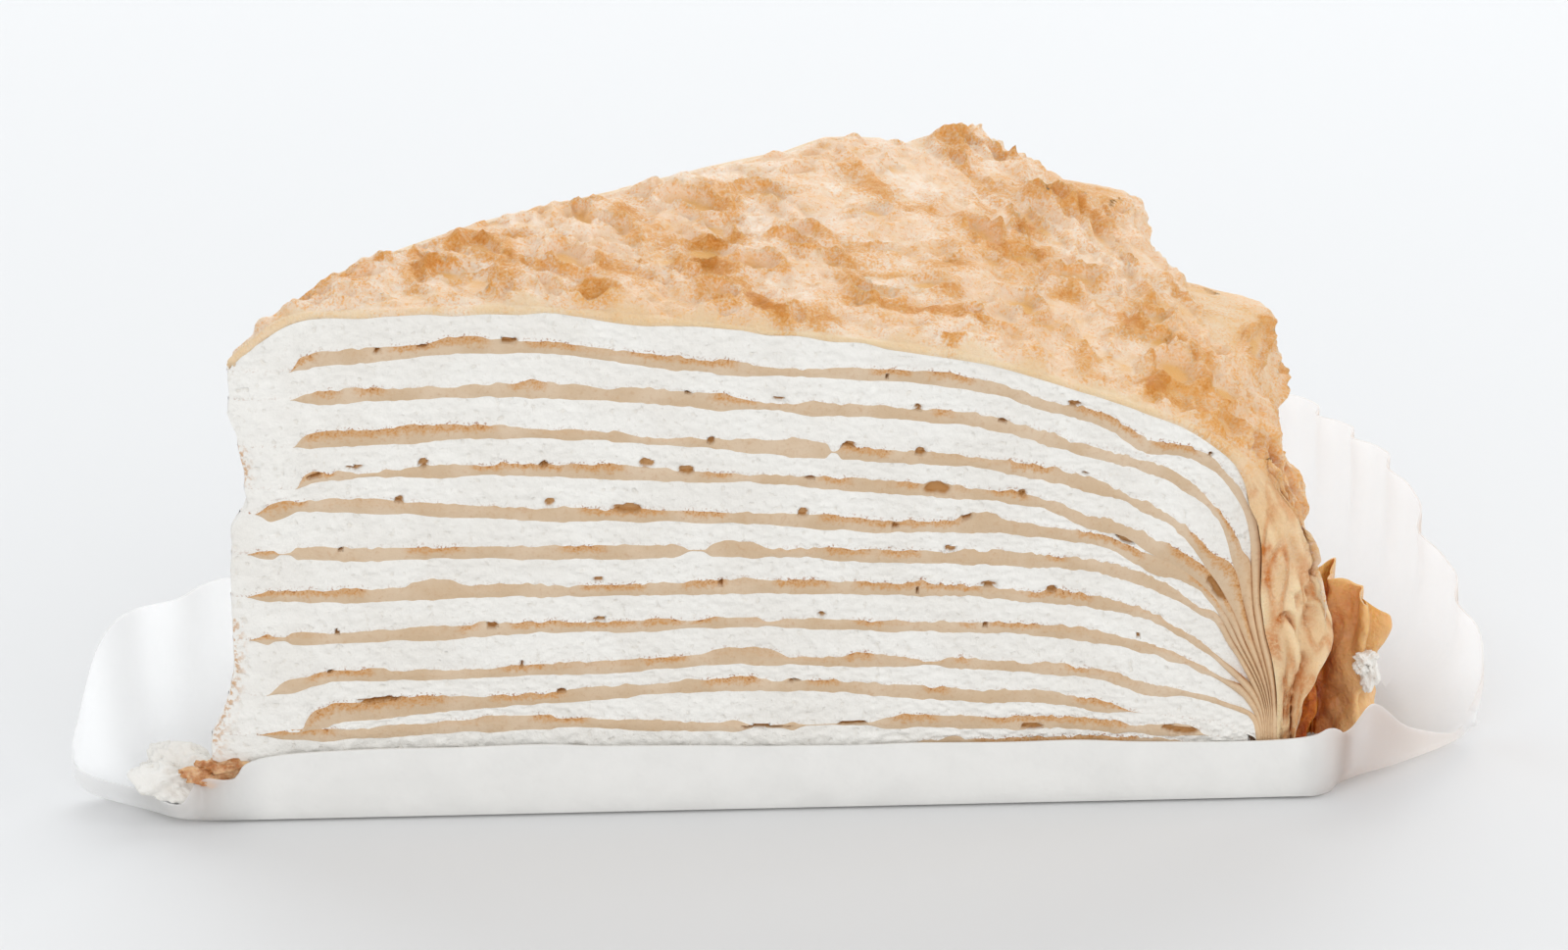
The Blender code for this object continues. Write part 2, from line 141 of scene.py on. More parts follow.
# Stretches where the upper edge is well browned: crepe, from, to
BROWNED = (
    (1, 0.72, 0.95), (1, 1.7, 2.6), (1, 3.0, 3.5), (1, 4.0, 4.4), (1, 4.45, 5.0), (1, 6.35, 6.7),
    (1, 6.9, 7.3), (1, 8.35, 8.95), (1, 9.1, 9.5), (2, 0.95, 1.15), (2, 1.35, 1.6), (2, 2.85, 3.15),
    (2, 4.8, 5.2), (2, 6.95, 7.1), (2, 9.75, 9.95), (3, 0.85, 2.65), (3, 6.05, 6.5), (3, 7.7, 8.1),
    (3, 9.5, 10.1), (4, 0.8, 1.1), (4, 2.45, 3.3), (4, 3.4, 3.9), (4, 4.72, 4.95), (4, 5.85, 6.1),
    (4, 6.6, 6.8), (4, 7.5, 7.85), (4, 9.3, 9.9), (5, 0.2, 0.8), (5, 3.5, 4.3), (5, 4.5, 4.9),
    (5, 5.85, 7.2), (5, 8.4, 9.0), (5, 9.5, 9.8), (6, 0.3, 0.55), (6, 1.8, 2.3), (6, 3.3, 3.7),
    (6, 5.9, 6.3), (6, 6.45, 6.8), (6, 8.1, 8.25), (7, 0.3, 1.35), (7, 3.5, 4.1), (7, 4.5, 4.9),
    (7, 5.4, 5.9), (7, 6.2, 7.4), (7, 7.9, 8.5), (8, 0.3, 0.5), (8, 2.3, 2.45), (8, 2.8, 4.0),
    (8, 4.1, 4.45), (8, 4.6, 4.8), (8, 6.2, 6.45), (8, 7.25, 7.35), (8, 7.55, 8.0), (9, 0.8, 1.4),
    (9, 2.7, 3.1), (9, 4.1, 4.5), (9, 6.1, 6.35), (9, 7.2, 7.3), (9, 8.3, 8.5), (10, 0.8, 2.1),
    (10, 2.6, 3.3), (10, 4.7, 5.2), (10, 5.75, 6.0), (10, 6.9, 7.1), (10, 8.4, 9.0), (11, 0.46, 1.0),
    (11, 3.0, 3.5), (11, 6.6, 7.0), (11, 7.5, 8.9), (12, 7.4, 9.0),
)
BACK_SHIFT = 1.37  # the back cut shows the same run of marks, this much further along

rng = np.random.default_rng(39)
LATTICE_SIZE = 64
LATTICE = rng.uniform(-1, 1, (LATTICE_SIZE, LATTICE_SIZE))
SCATTER = rng.random((LATTICE_SIZE, LATTICE_SIZE, 3))


def smoothstep(low, high, value):
    share = np.clip((value - low) / (high - low), 0, 1)
    return share * share * (3 - 2 * share)


def ripple(u, v, seed):
    """Smooth unevenness between -1 and 1, about one swell for each unit of u and v."""
    u, v = u + 7.31 * seed, v + 3.17 * seed
    i, j = np.floor(u).astype(int), np.floor(v).astype(int)
    s, t = smoothstep(0, 1, u - i), smoothstep(0, 1, v - j)
    i, j, k, m = (place % LATTICE_SIZE for place in (i, j, i + 1, j + 1))
    near = LATTICE[i, j] * (1 - s) + LATTICE[k, j] * s
    return near * (1 - t) + (LATTICE[i, m] * (1 - s) + LATTICE[k, m] * s) * t


def cells(u, v, seed):
    """Distance to the nearest of a lattice's shaken points, and that point's own number."""
    u, v = u + 5.93 * seed, v + 2.71 * seed
    i, j = np.floor(u).astype(int), np.floor(v).astype(int)
    near, own = np.full(u.shape, 9.0), np.zeros(u.shape)
    for a in (-1, 0, 1):
        for b in (-1, 0, 1):
            jump = SCATTER[(i + a) % LATTICE_SIZE, (j + b) % LATTICE_SIZE]
            away = np.hypot(i + a + jump[..., 0] - u, j + b + jump[..., 1] - v)
            own = np.where(away < near, jump[..., 2], own)
            near = np.minimum(near, away)
    return near, own


def smooth_between(before, start, end, after, share):
    """The smooth curve from start to end, which takes its slopes from the stations beyond them."""
    leave, arrive = (end - before) / 2, (after - start) / 2
    square, cube = share**2, share**3
    return (
        (2 * cube - 3 * square + 1) * start + (cube - 2 * square + share) * leave
        + (3 * square - 2 * cube) * end + (cube - square) * arrive
    )


def level(heights, radius):
    """The height that a layer would have at this radius if it didn't bend down."""
    pitch = STATIONS[1] - STATIONS[0]
    radius = np.clip(radius, STATIONS[0], STATIONS[-1])
    index = np.minimum(((radius - STATIONS[0]) / pitch).astype(int), len(STATIONS) - 2)
    share = (radius - STATIONS[index]) / pitch
    padded = np.array((heights[0], *heights, heights[-1]))
    return smooth_between(*(padded[index + step] for step in range(4)), share)


def on_cut(radius, across):
    """A mark's place along the cut: the back cut shows the same run further along."""
    return radius + BACK_SHIFT * (across > 0.5)


def middle_line(number, along, across):
    """Radius and height of a layer's middle: along is 0 to 1 where it lies flat, 1 to 2 on the bend."""
    _, heights, rim, _, squareness = CREPES[number - 1] if number else CRUST
    back = smoothstep(0.0, 0.45, across)
    power = 2 / (squareness + BACK_SQUARENESS * back)
    turn = np.radians(90 * np.clip(along - 1, 0, 1))
    flat = TIP_CUT + (BEND - TIP_CUT) * along
    radius = np.where(along <= 1, flat, BEND + (rim + BACK_RIM * back - BEND) * np.sin(turn) ** power)
    share = np.maximum(np.cos(turn), 0) ** power
    rise = (BACK_RISE[0] + BACK_RISE[1] * radius) * radius
    height = level(heights, radius) * (1 + rise * across)
    if number == 0:
        height = height - CRUST_DROOP[1] * np.maximum(1 - radius / CRUST_DROOP[0], 0) ** 2
        fallen = BACK_DROOP[1] * across * np.maximum(1 - radius / BACK_DROOP[0], 0)
        height = height - fallen * smoothstep(-0.2, 0.5, radius)
        height = height + np.interp(radius, HUMP_PLACES, HUMP) * smoothstep(0.55, 0.95, across)
    if number in TIP_SAGS:
        sag, length = TIP_SAGS[number]
        past = np.maximum(1 - (radius - CREPES[number - 1][0]) / length, 0)
        height = height - sag * np.minimum(past, 1) ** 2
    height = FOOT + (height - FOOT) * share
    for crepe, place, reach, step in STEPS:
        if crepe == number:
            height = height + step * np.exp(-(((on_cut(radius, across) - place) / reach) ** 2))
    return radius, height


def offset_line(number, along, across, away):
    """The same line moved this far square to itself, outwards or up."""
    radius, height = middle_line(number, along, across)
    before = middle_line(number, np.maximum(along - 0.01, 0), across)
    after = middle_line(number, np.minimum(along + 0.01, 2), across)
    run, fall = after[0] - before[0], after[1] - before[1]
    length = np.hypot(run, fall)
    return radius - away * fall / length, height + away * run / length


def settled(radius, height):
    """Near the foot of the rim the layers are drawn together under the cake's edge."""
    drawn = np.interp(radius, (9.3, 9.9, 10.35, 10.8), (0.0, 0.24, 0.06, -0.24))
    pulled = np.interp(radius, (9.2, 10.0, 10.35, 10.75), (0.0, -0.05, -0.14, 0.0))
    pulled = pulled * np.exp(-(((height - 2.15) / 0.6) ** 2))
    return radius + drawn * smoothstep(*FOOT_HEIGHTS, height) + pulled, height


def half_of(number, along, across, side):
    """How far a crepe's upper or lower face stays from its middle."""
    tip, _, _, bend, _ = CREPES[number - 1]
    radius, _ = middle_line(number, along, across)
    place = on_cut(radius, across) + 3.3 * (along - 1) * (along > 1)
    half = CREPE_HALF + (CREPE_HALF_RIM - CREPE_HALF) * smoothstep(1.3, 1.75, along)
    half = half * (1 + 0.28 * ripple(place * 1.1, across * 2, 10 * number + side))
    half = half + 0.012 * ripple(place * 3.5, across * 5, 20 * number + side)
    rough = (0.016 if side > 0 else 0.009) * smoothstep(1.8, 1.4, along)
    half = half + rough * ripple(place * 7, across * 9, 3 * number)
    half = half + rough * 0.8 * ripple(place * 15, across * 9, 4 * number)
    for crepe, middle, reach, above, below in SWELLS:
        if crepe == number:
            growth = above if side > 0 else below
            half = half + growth * np.exp(-(((on_cut(radius, across) - middle) / reach) ** 4))
    half = half + side * 0.02 * ripple(place * 0.8, across * 2, 30 + number)
    ends = smoothstep(tip - 0.02, tip + 0.16, radius) * smoothstep(1 + bend / 90, 0.9 + bend / 90, along)
    if bend >= FULL_BEND:
        ends = smoothstep(tip - 0.02, tip + 0.16, radius)
    return np.maximum(half, 0.004) * ends


def gather_at(along, across):
    """0 to 1, how far a point belongs to the thick gathered hem at the front of the rim."""
    return smoothstep(1.48, 1.72, along) * smoothstep(0.30, 0.05, across)


def face(number, along, across, side):
    """A crepe's upper (side 1) or lower (side -1) face, shared with the cream beyond it.

    Where that cream runs out, the face closes on the next crepe's.
    """
    if number == 0:
        wavy = 0.025 * ripple(along * 9, across * 4, 5) + 0.02 * ripple(along * 21, across * 9, 6)
        inwards = CRUST_HALF + wavy + HEM_INWARDS * gather_at(along, across)
        return settled(*offset_line(0, along, across, -inwards))
    away = side * half_of(number, along, across, side)
    radius, height = settled(*offset_line(number, along, across, away))
    cream = number if side > 0 else number + 1
    beyond = number - side
    if beyond > CREPE_COUNT:
        return radius, height
    end = 1 + CREAM_ENDS[cream - 1] / 90
    closed = smoothstep(end - 0.12, end, along)
    if beyond == 0:
        meet = face(0, along, across, -1)
    else:
        here, there = middle_line(number, along, across), middle_line(beyond, along, across)
        meet = settled((here[0] + there[0]) / 2, (here[1] + there[1]) / 2)
    return radius + (meet[0] - radius) * closed, height + (meet[1] - height) * closed


def tip_shape(height):
    """How far the blunt tip stands left or right of its plain place at each height."""
    heights = (0.3, 0.75, 1.0, 1.35, 1.6, 2.0, 2.9, 3.15, 3.4, 3.6, 4.1, 4.3, 4.6, 5.2)
    moves = (-0.38, -0.36, -0.30, -0.16, -0.11, -0.10, -0.08, -0.05, 0.10, 0.08, 0.03, -0.05, -0.04, 0.0)
    return np.interp(height, heights, moves) + 0.02 * ripple(height * 5, height * 0, 8)


def placed(x, y, height):
    """Points given in centimetres from the wedge's point, in metres in the part's frame."""
    return np.stack(((x + POINT[0]) * CM, (y + POINT[1]) * CM, height * CM), axis=-1)


def stand(radius, height, across, relief):
    """Points of the wedge in metres. relief moves a cut face's points into the cake."""
    angle = WEDGE * across
    inward = np.where(across < 0.5, relief, -relief)
    blunt = np.maximum(1 - radius / 1.2, 0) ** 2
    x = radius * np.cos(angle) - inward * np.sin(angle)
    y = radius * np.sin(angle) + inward * np.cos(angle) + 0.13 * across * blunt
    x = x + tip_shape(height) * smoothstep(0.9, 0.1, radius)
    return placed(x, y, height)


def drag(place, height):
    """How unevenly the knife has drawn the cut face, in centimetres."""
    return 0.010 * ripple(place * 0.9, height * 1.4, 2) + 0.006 * ripple(place * 7, height * 9, 6)


def holes_at(number, radius, height, across):
    """0 to 1, how deep inside one of this crepe's air holes a point of the cut face lies."""
    inside = np.zeros(radius.shape)
    trace = np.linspace(0, 2, 400)
    line = settled(*middle_line(number, trace, 0.0 * trace))
    shift = BACK_SHIFT * (across > 0.5)
    for crepe, place, rise, half_length, half_height in HOLES:
        if crepe != number:
            continue
        step = min(int(np.searchsorted(line[0], place)), len(trace) - 3)
        run, fall = line[0][step + 2] - line[0][step - 2], line[1][step + 2] - line[1][step - 2]
        run, fall = run / math.hypot(run, fall), fall / math.hypot(run, fall)
        drop = level(CREPES[number - 1][1], radius + shift) - level(CREPES[number - 1][1], radius)
        x = radius + shift - (line[0][step] - rise * fall)
        z = height + drop * (across > 0.5) - (line[1][step] + rise * run)
        u = (x * run + z * fall) / half_length
        v = (z * run - x * fall) / half_height
        away = 1.15 * np.hypot(u, v) + 0.35 * ripple(radius * 14, height * 14, crepe)
        inside = np.maximum(inside, smoothstep(1.2, 0.75, away))
    return inside


def browned_at(number, radius, across):
    place = on_cut(radius, across)
    amount = 0.25 * smoothstep(-0.2, 0.8, ripple(place * 1.7, across * 2, 50 + number))
    for crepe, start, end in BROWNED:
        if crepe == number:
            amount = np.maximum(amount, smoothstep(start - 0.08, start + 0.05, place)
                                * smoothstep(end + 0.08, end - 0.05, place))
    return amount


def shared_steps():
    """The steps along, flat part and bend, that every layer shares, so that neighbours' points meet."""
    flat = np.linspace(0, 1, round((BEND - TIP_CUT) / PITCH) + 1)
    fine = np.linspace(1, 2, 2000)
    radius, height = middle_line(4, fine, 0 * fine)
    travelled = np.concatenate(([0], np.cumsum(np.hypot(np.diff(radius), np.diff(height)))))
    even = np.arange(1, int(travelled[-1] / PITCH) + 1) * PITCH
    return np.concatenate((flat, np.interp(even, travelled, fine), (2.0,)))


PITCH = 0.02
ALONG = shared_steps()
ACROSS = 6
CREPE_UP = 6
HAIR = 1e-7  # puts the row halfway across a layer's upper face with the front cut


def block(steps):
    """A closed block cut into these steps, and its points' shares of the way along each side."""
    bm = bmesh.new()
    bmesh.ops.create_grid(bm, x_segments=steps[0], y_segments=steps[1], size=0.5)
    bmesh.ops.translate(bm, verts=bm.verts, vec=(0.5, 0.5, 0))
    made = bmesh.ops.extrude_face_region(bm, geom=bm.faces[:])["geom"]
    moved = [item for item in made if isinstance(item, bmesh.types.BMVert)]
    bmesh.ops.translate(bm, verts=moved, vec=(0, 0, 1))
    through = [edge for edge in bm.edges if edge.verts[0].co.z != edge.verts[1].co.z]
    bmesh.ops.subdivide_edges(bm, edges=through, cuts=steps[2] - 1)
    bmesh.ops.recalc_face_normals(bm, faces=bm.faces)
    bmesh.ops.reverse_faces(bm, faces=bm.faces)  # standing the block up mirrors it
    mesh = bpy.data.meshes.new("block")
    bm.to_mesh(mesh)
    bm.free()
    run, up, across = np.round(shares_of(mesh), 6)  # unrounded, they vary a little from run to run
    return mesh, (run, up, across - HAIR * (up == 1))


def shares_of(mesh):
    shares = np.empty(3 * len(mesh.vertices), np.float32)
    mesh.vertices.foreach_get("co", shares)
    return shares.reshape(-1, 3).T.astype(float)


def finish(mesh, name, points, masks, material, slot, replaced, crisp=55):
    """Gives a mesh its points, its masks and its material, and makes it a piece of the cake."""
    mesh.name = name
    mesh.vertices.foreach_set("co", points.astype(np.float32).ravel())
    for mask, values in masks.items():
        mesh.attributes.new(mask, "FLOAT", "POINT").data.foreach_set("value", values.astype(np.float32))
    mesh.shade_smooth()
    mesh.set_sharp_from_angle(angle=math.radians(crisp))
    mesh.materials.append(material)
    mesh.update()
    piece = bpy.data.objects.new(name, mesh)
    bpy.context.scene.collection.objects.link(piece)
    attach(piece, "root")
    if replaced:
        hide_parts(*replaced)


class Value:
    """One socket of a material's nodes, on which Python's own signs make Math nodes."""

    def __init__(self, finish, socket):
        self.finish, self.socket = finish, socket

    def math(self, operation, first, second=0.0):
        inputs = {0: first, 1: second}
        return self.finish.node("Math", {"operation": operation}, inputs)

    def __add__(self, other):
        return self.math("ADD", self, other)

    __radd__ = __add__

    def __sub__(self, other):
        return self.math("SUBTRACT", self, other)

    def __rsub__(self, other):
        return self.math("SUBTRACT", other, self)

    def __mul__(self, other):
        return self.math("MULTIPLY", self, other)

    __rmul__ = __mul__

    def __abs__(self):
        return self.math("ABSOLUTE", self)

    def between(self, low, high):
        """0 at low, 1 at high, smooth on the way."""
        inputs = {"Value": self, "From Min": low, "From Max": high}
        return self.finish.node("MapRange", {"interpolation_type": "SMOOTHSTEP"}, inputs)


class Finish:
    """A material: constants on its Principled shader, and one method that adds any node."""

    def __init__(self, name, constants):
        self.material = bpy.data.materials.new(name)
        self.material.use_nodes = True
        self.tree = self.material.node_tree
        self.shader = self.tree.nodes["Principled BSDF"]
        self.feed(self.shader, constants)
        self.where = self.node("TexCoord", {}, {}, "Object")

    def feed(self, node, inputs):
        for key, value in inputs.items():
            if isinstance(value, Value):
                self.tree.links.new(value.socket, node.inputs[key])
            else:
                node.inputs[key].default_value = value

    def node(self, kind, settings, inputs, output=0):
        made = self.tree.nodes.new("ShaderNode" + kind)
        for key, value in settings.items():
            setattr(made, key, value)
        self.feed(made, inputs)
        return Value(self, made.outputs[output])

    def mask(self, name):
        return self.node("Attribute", {"attribute_name": name}, {}, "Fac")

    def noise(self, size, detail=3.0, rough=0.55):
        """Unevenness around 0.5, its swells this many centimetres across."""
        inputs = {"Vector": self.where, "Scale": 1 / (size * CM), "Detail": detail, "Roughness": rough}
        return self.node("TexNoise", {}, inputs)

    def mix(self, share, first, second):
        inputs = {0: share, 6: first, 7: second}
        return self.node("Mix", {"data_type": "RGBA", "clamp_factor": True}, inputs, 2)

    def bump(self, height, depth):
        """A normal from a height, which stands this many centimetres high at 1."""
        return self.node("Bump", {}, {"Height": height, "Strength": 1.0, "Distance": depth * CM})


def colour(red, green, blue):
    """A linear colour from the three shares of 255 that a paint chart gives."""
    chart = [value / 255 for value in (red, green, blue)]
    return (*(c / 12.92 if c < 0.04045 else ((c + 0.055) / 1.055) ** 2.4 for c in chart), 1.0)


def crepe_finish():
    made = Finish("cooked_crepe", {"Roughness": 0.5, "Specular IOR Level": 0.35})
    up, browned, hole, rim = (made.mask(name) for name in ("up", "browned", "hole", "rim"))
    grain, speck = made.noise(0.05, 4, 0.65), made.noise(0.022, 2)
    tan = made.mix(made.noise(0.5).between(0.35, 0.7), colour(208, 181, 149), colour(218, 195, 168))
    tan = made.mix(rim, tan, colour(224, 192, 154))
    tan = made.mix(grain.between(0.5, 0.75) * 0.45, tan, colour(196, 156, 118))
    edge = up + (grain - 0.5) * 1.1
    golden = browned * edge.between(0.35, 0.8)
    tan = made.mix(golden * (0.5 + 0.5 * speck.between(0.4, 0.62)), tan, colour(202, 146, 84))
    rust = browned * edge.between(0.75, 1.1) * speck.between(0.5, 0.66) * grain.between(0.42, 0.55)
    tan = made.mix(rust, tan, colour(152, 92, 42))
    # painted shade: darker orange in the creases where the crepes meet at the rim
    crease = rim * (1 - up * (1 - up) * 4).between(0.7, 1.0)
    tan = made.mix(crease * made.noise(0.3, 3).between(0.4, 0.6), tan, colour(190, 120, 52))
    # the air holes: brown of the browned crepe lining them, darkened with painted shade
    tan = made.mix(hole.between(0.2, 0.9), tan, colour(188, 138, 82))
    made.feed(made.shader, {"Base Color": tan, "Normal": made.bump(grain, 0.012)})
    return made.material


cooked_crepe = crepe_finish()
for number in range(1, CREPE_COUNT + 1):
    tip, _, _, bend, _ = CREPES[number - 1]
    first = int(np.searchsorted(ALONG, (tip - TIP_CUT - 0.02) / (BEND - TIP_CUT)))
    last = len(ALONG) - 1 if bend >= FULL_BEND else int(np.searchsorted(ALONG, 1 + bend / 90))
    mesh, (run, up, across) = block((last - first, CREPE_UP, ACROSS))
    along = ALONG[np.round(run * (last - first)).astype(int) + first]
    lower, upper = face(number, along, across, -1), face(number, along, across, 1)
    radius, height = (low + (high - low) * up for low, high in zip(lower, upper))
    rim = smoothstep(1.62, 1.85, along)
    hole = holes_at(number, radius, height, across)
    relief = drag(on_cut(radius, across), height)
    stands = rim * smoothstep(0.8, 1.3, height)
    relief = relief - 0.03 * np.sin(math.pi * up) * (0.25 + stands) + 0.07 * hole
    relief = relief + stands * (0.04 * ripple(radius * 3, height * 1.3, 4) - 0.03)
    masks = {"up": up, "browned": browned_at(number, radius, across), "hole": hole, "rim": rim}
    finish(mesh, f"crepe_{number:02d}", stand(radius, height, across, relief), masks,
           cooked_crepe, "crepe", (f"crepe_{number:02d}",))

# ---------------------------------------------------------------------------------------
# The cream: thirteen layers of whipped cream spread between the crepes. The knife has drawn
# it into a matte face with small pores and tears, a smear round the tip and a foot below it.
# ---------------------------------------------------------------------------------------
CREAM_UP = 12
BASE_HEIGHT = 0.07


def cream_finish():
    made = Finish("whipped_cream", {"Roughness": 0.6, "Specular IOR Level": 0.3})
    crumbs, hole, smear = (made.mask(name) for name in ("crumbs", "hole", "smear"))
    grain, speck = made.noise(0.06, 4, 0.6), made.noise(0.025, 2)
    white = made.mix(made.noise(0.8).between(0.35, 0.65), colour(238, 235, 229), colour(243, 241, 236))
    pore = made.noise(0.07, 2, 0.4).between(0.58, 0.78)
    # painted shade: the pores, dips in the bump below, are darker
    white = made.mix(pore * 0.35, white, colour(224, 215, 200))
    fleck = crumbs * speck.between(0.52, 0.62) * grain.between(0.4, 0.55)
    white = made.mix(fleck, white, colour(160, 96, 44))
    white = made.mix(smear * grain.between(0.45, 0.62), white, colour(206, 158, 108))
    # the air holes: brown of the browned crepe lining them, darkened with painted shade
    white = made.mix(hole.between(0.3, 0.95), white, colour(200, 156, 106))
    height = grain - pore * 0.4
    made.feed(made.shader, {"Base Color": white, "Normal": made.bump(height, 0.02)})
    return made.material


whipped_cream = cream_finish()
for number in range(1, CREPE_COUNT + 2):
    last = int(np.searchsorted(ALONG, 1 + CREAM_ENDS[number - 1] / 90))
    mesh, (run, up, across) = block((last, CREAM_UP, ACROSS))
    along = ALONG[np.round(run * last).astype(int)]
    lowest = number > CREPE_COUNT
    upper = face(number - 1, along, across, -1)
    lower = (upper[0], 0 * along + BASE_HEIGHT) if lowest else face(number, along, across, 1)
    radius, height = (low + (high - low) * up for low, high in zip(lower, upper))
    hole = 0 * along if lowest else holes_at(number, radius, height, across)
    if number > 1:
        hole = np.maximum(hole, holes_at(number - 1, radius, height, across))
    place = on_cut(radius, across)
    tears, own = cells(place * 7, height * 4.5, number)
    pores = smoothstep(0.32, 0.08, tears) * (own < 0.3)
    torn = 0.012 * pores + 0.012 * ripple(place * 13, height * 26, 7)
    torn = torn + 0.007 * ripple(place * 26, height * 40, 15)
    relief = drag(place, height) + torn * (1 - (2 * up - 1) ** 6) + 0.07 * hole
    relief = relief + 0.08 * np.maximum(1 - radius / 0.45, 0) ** 2
    thickness = np.maximum(upper[1] - lower[1], 0.02)
    crumbs = 0.3 + 0.7 * browned_at(min(number, CREPE_COUNT), radius, across)
    crumbs = crumbs * smoothstep(0.05, 0.0, up * thickness)
    smear = smoothstep(0.30, 0.12, radius) * smoothstep(0.1, 0.5, ripple(height * 2.2, across * 3, 12))
    masks = {"crumbs": crumbs, "hole": hole, "smear": smear}
    finish(mesh, f"cream_{number:02d}", stand(radius, height, across, relief), masks,
           whipped_cream, "cream", (f"cream_{number:02d}",))

# ---------------------------------------------------------------------------------------
# The top crepe: one thicker pancake draped over the whole cake and tucked in below the rim.
# It was fried until blistered, so it is pitted and ridged, pale in the pits and browned on
# the ridges, with a smooth pale band where the knife went through. Shade is painted into the
# pits as a darker amber. On the gathered hem, highlights are painted on the folds and shade in their
# creases.
# ---------------------------------------------------------------------------------------
# Folds that stand out at the rim: place across, top, foot, reach there, reach at the foot, half width
RUFFLES = (
    (0.03, 3.20, 2.50, 0.05, 0.14, 0.06),
    (0.42, 4.22, 3.35, 0.60, 0.45, 0.10),
    (0.78, 4.71, 3.85, 0.57, 0.40, 0.09),
)
RIM_WAVES = 6.5
RIM_WAVE_DEPTH = 0.08
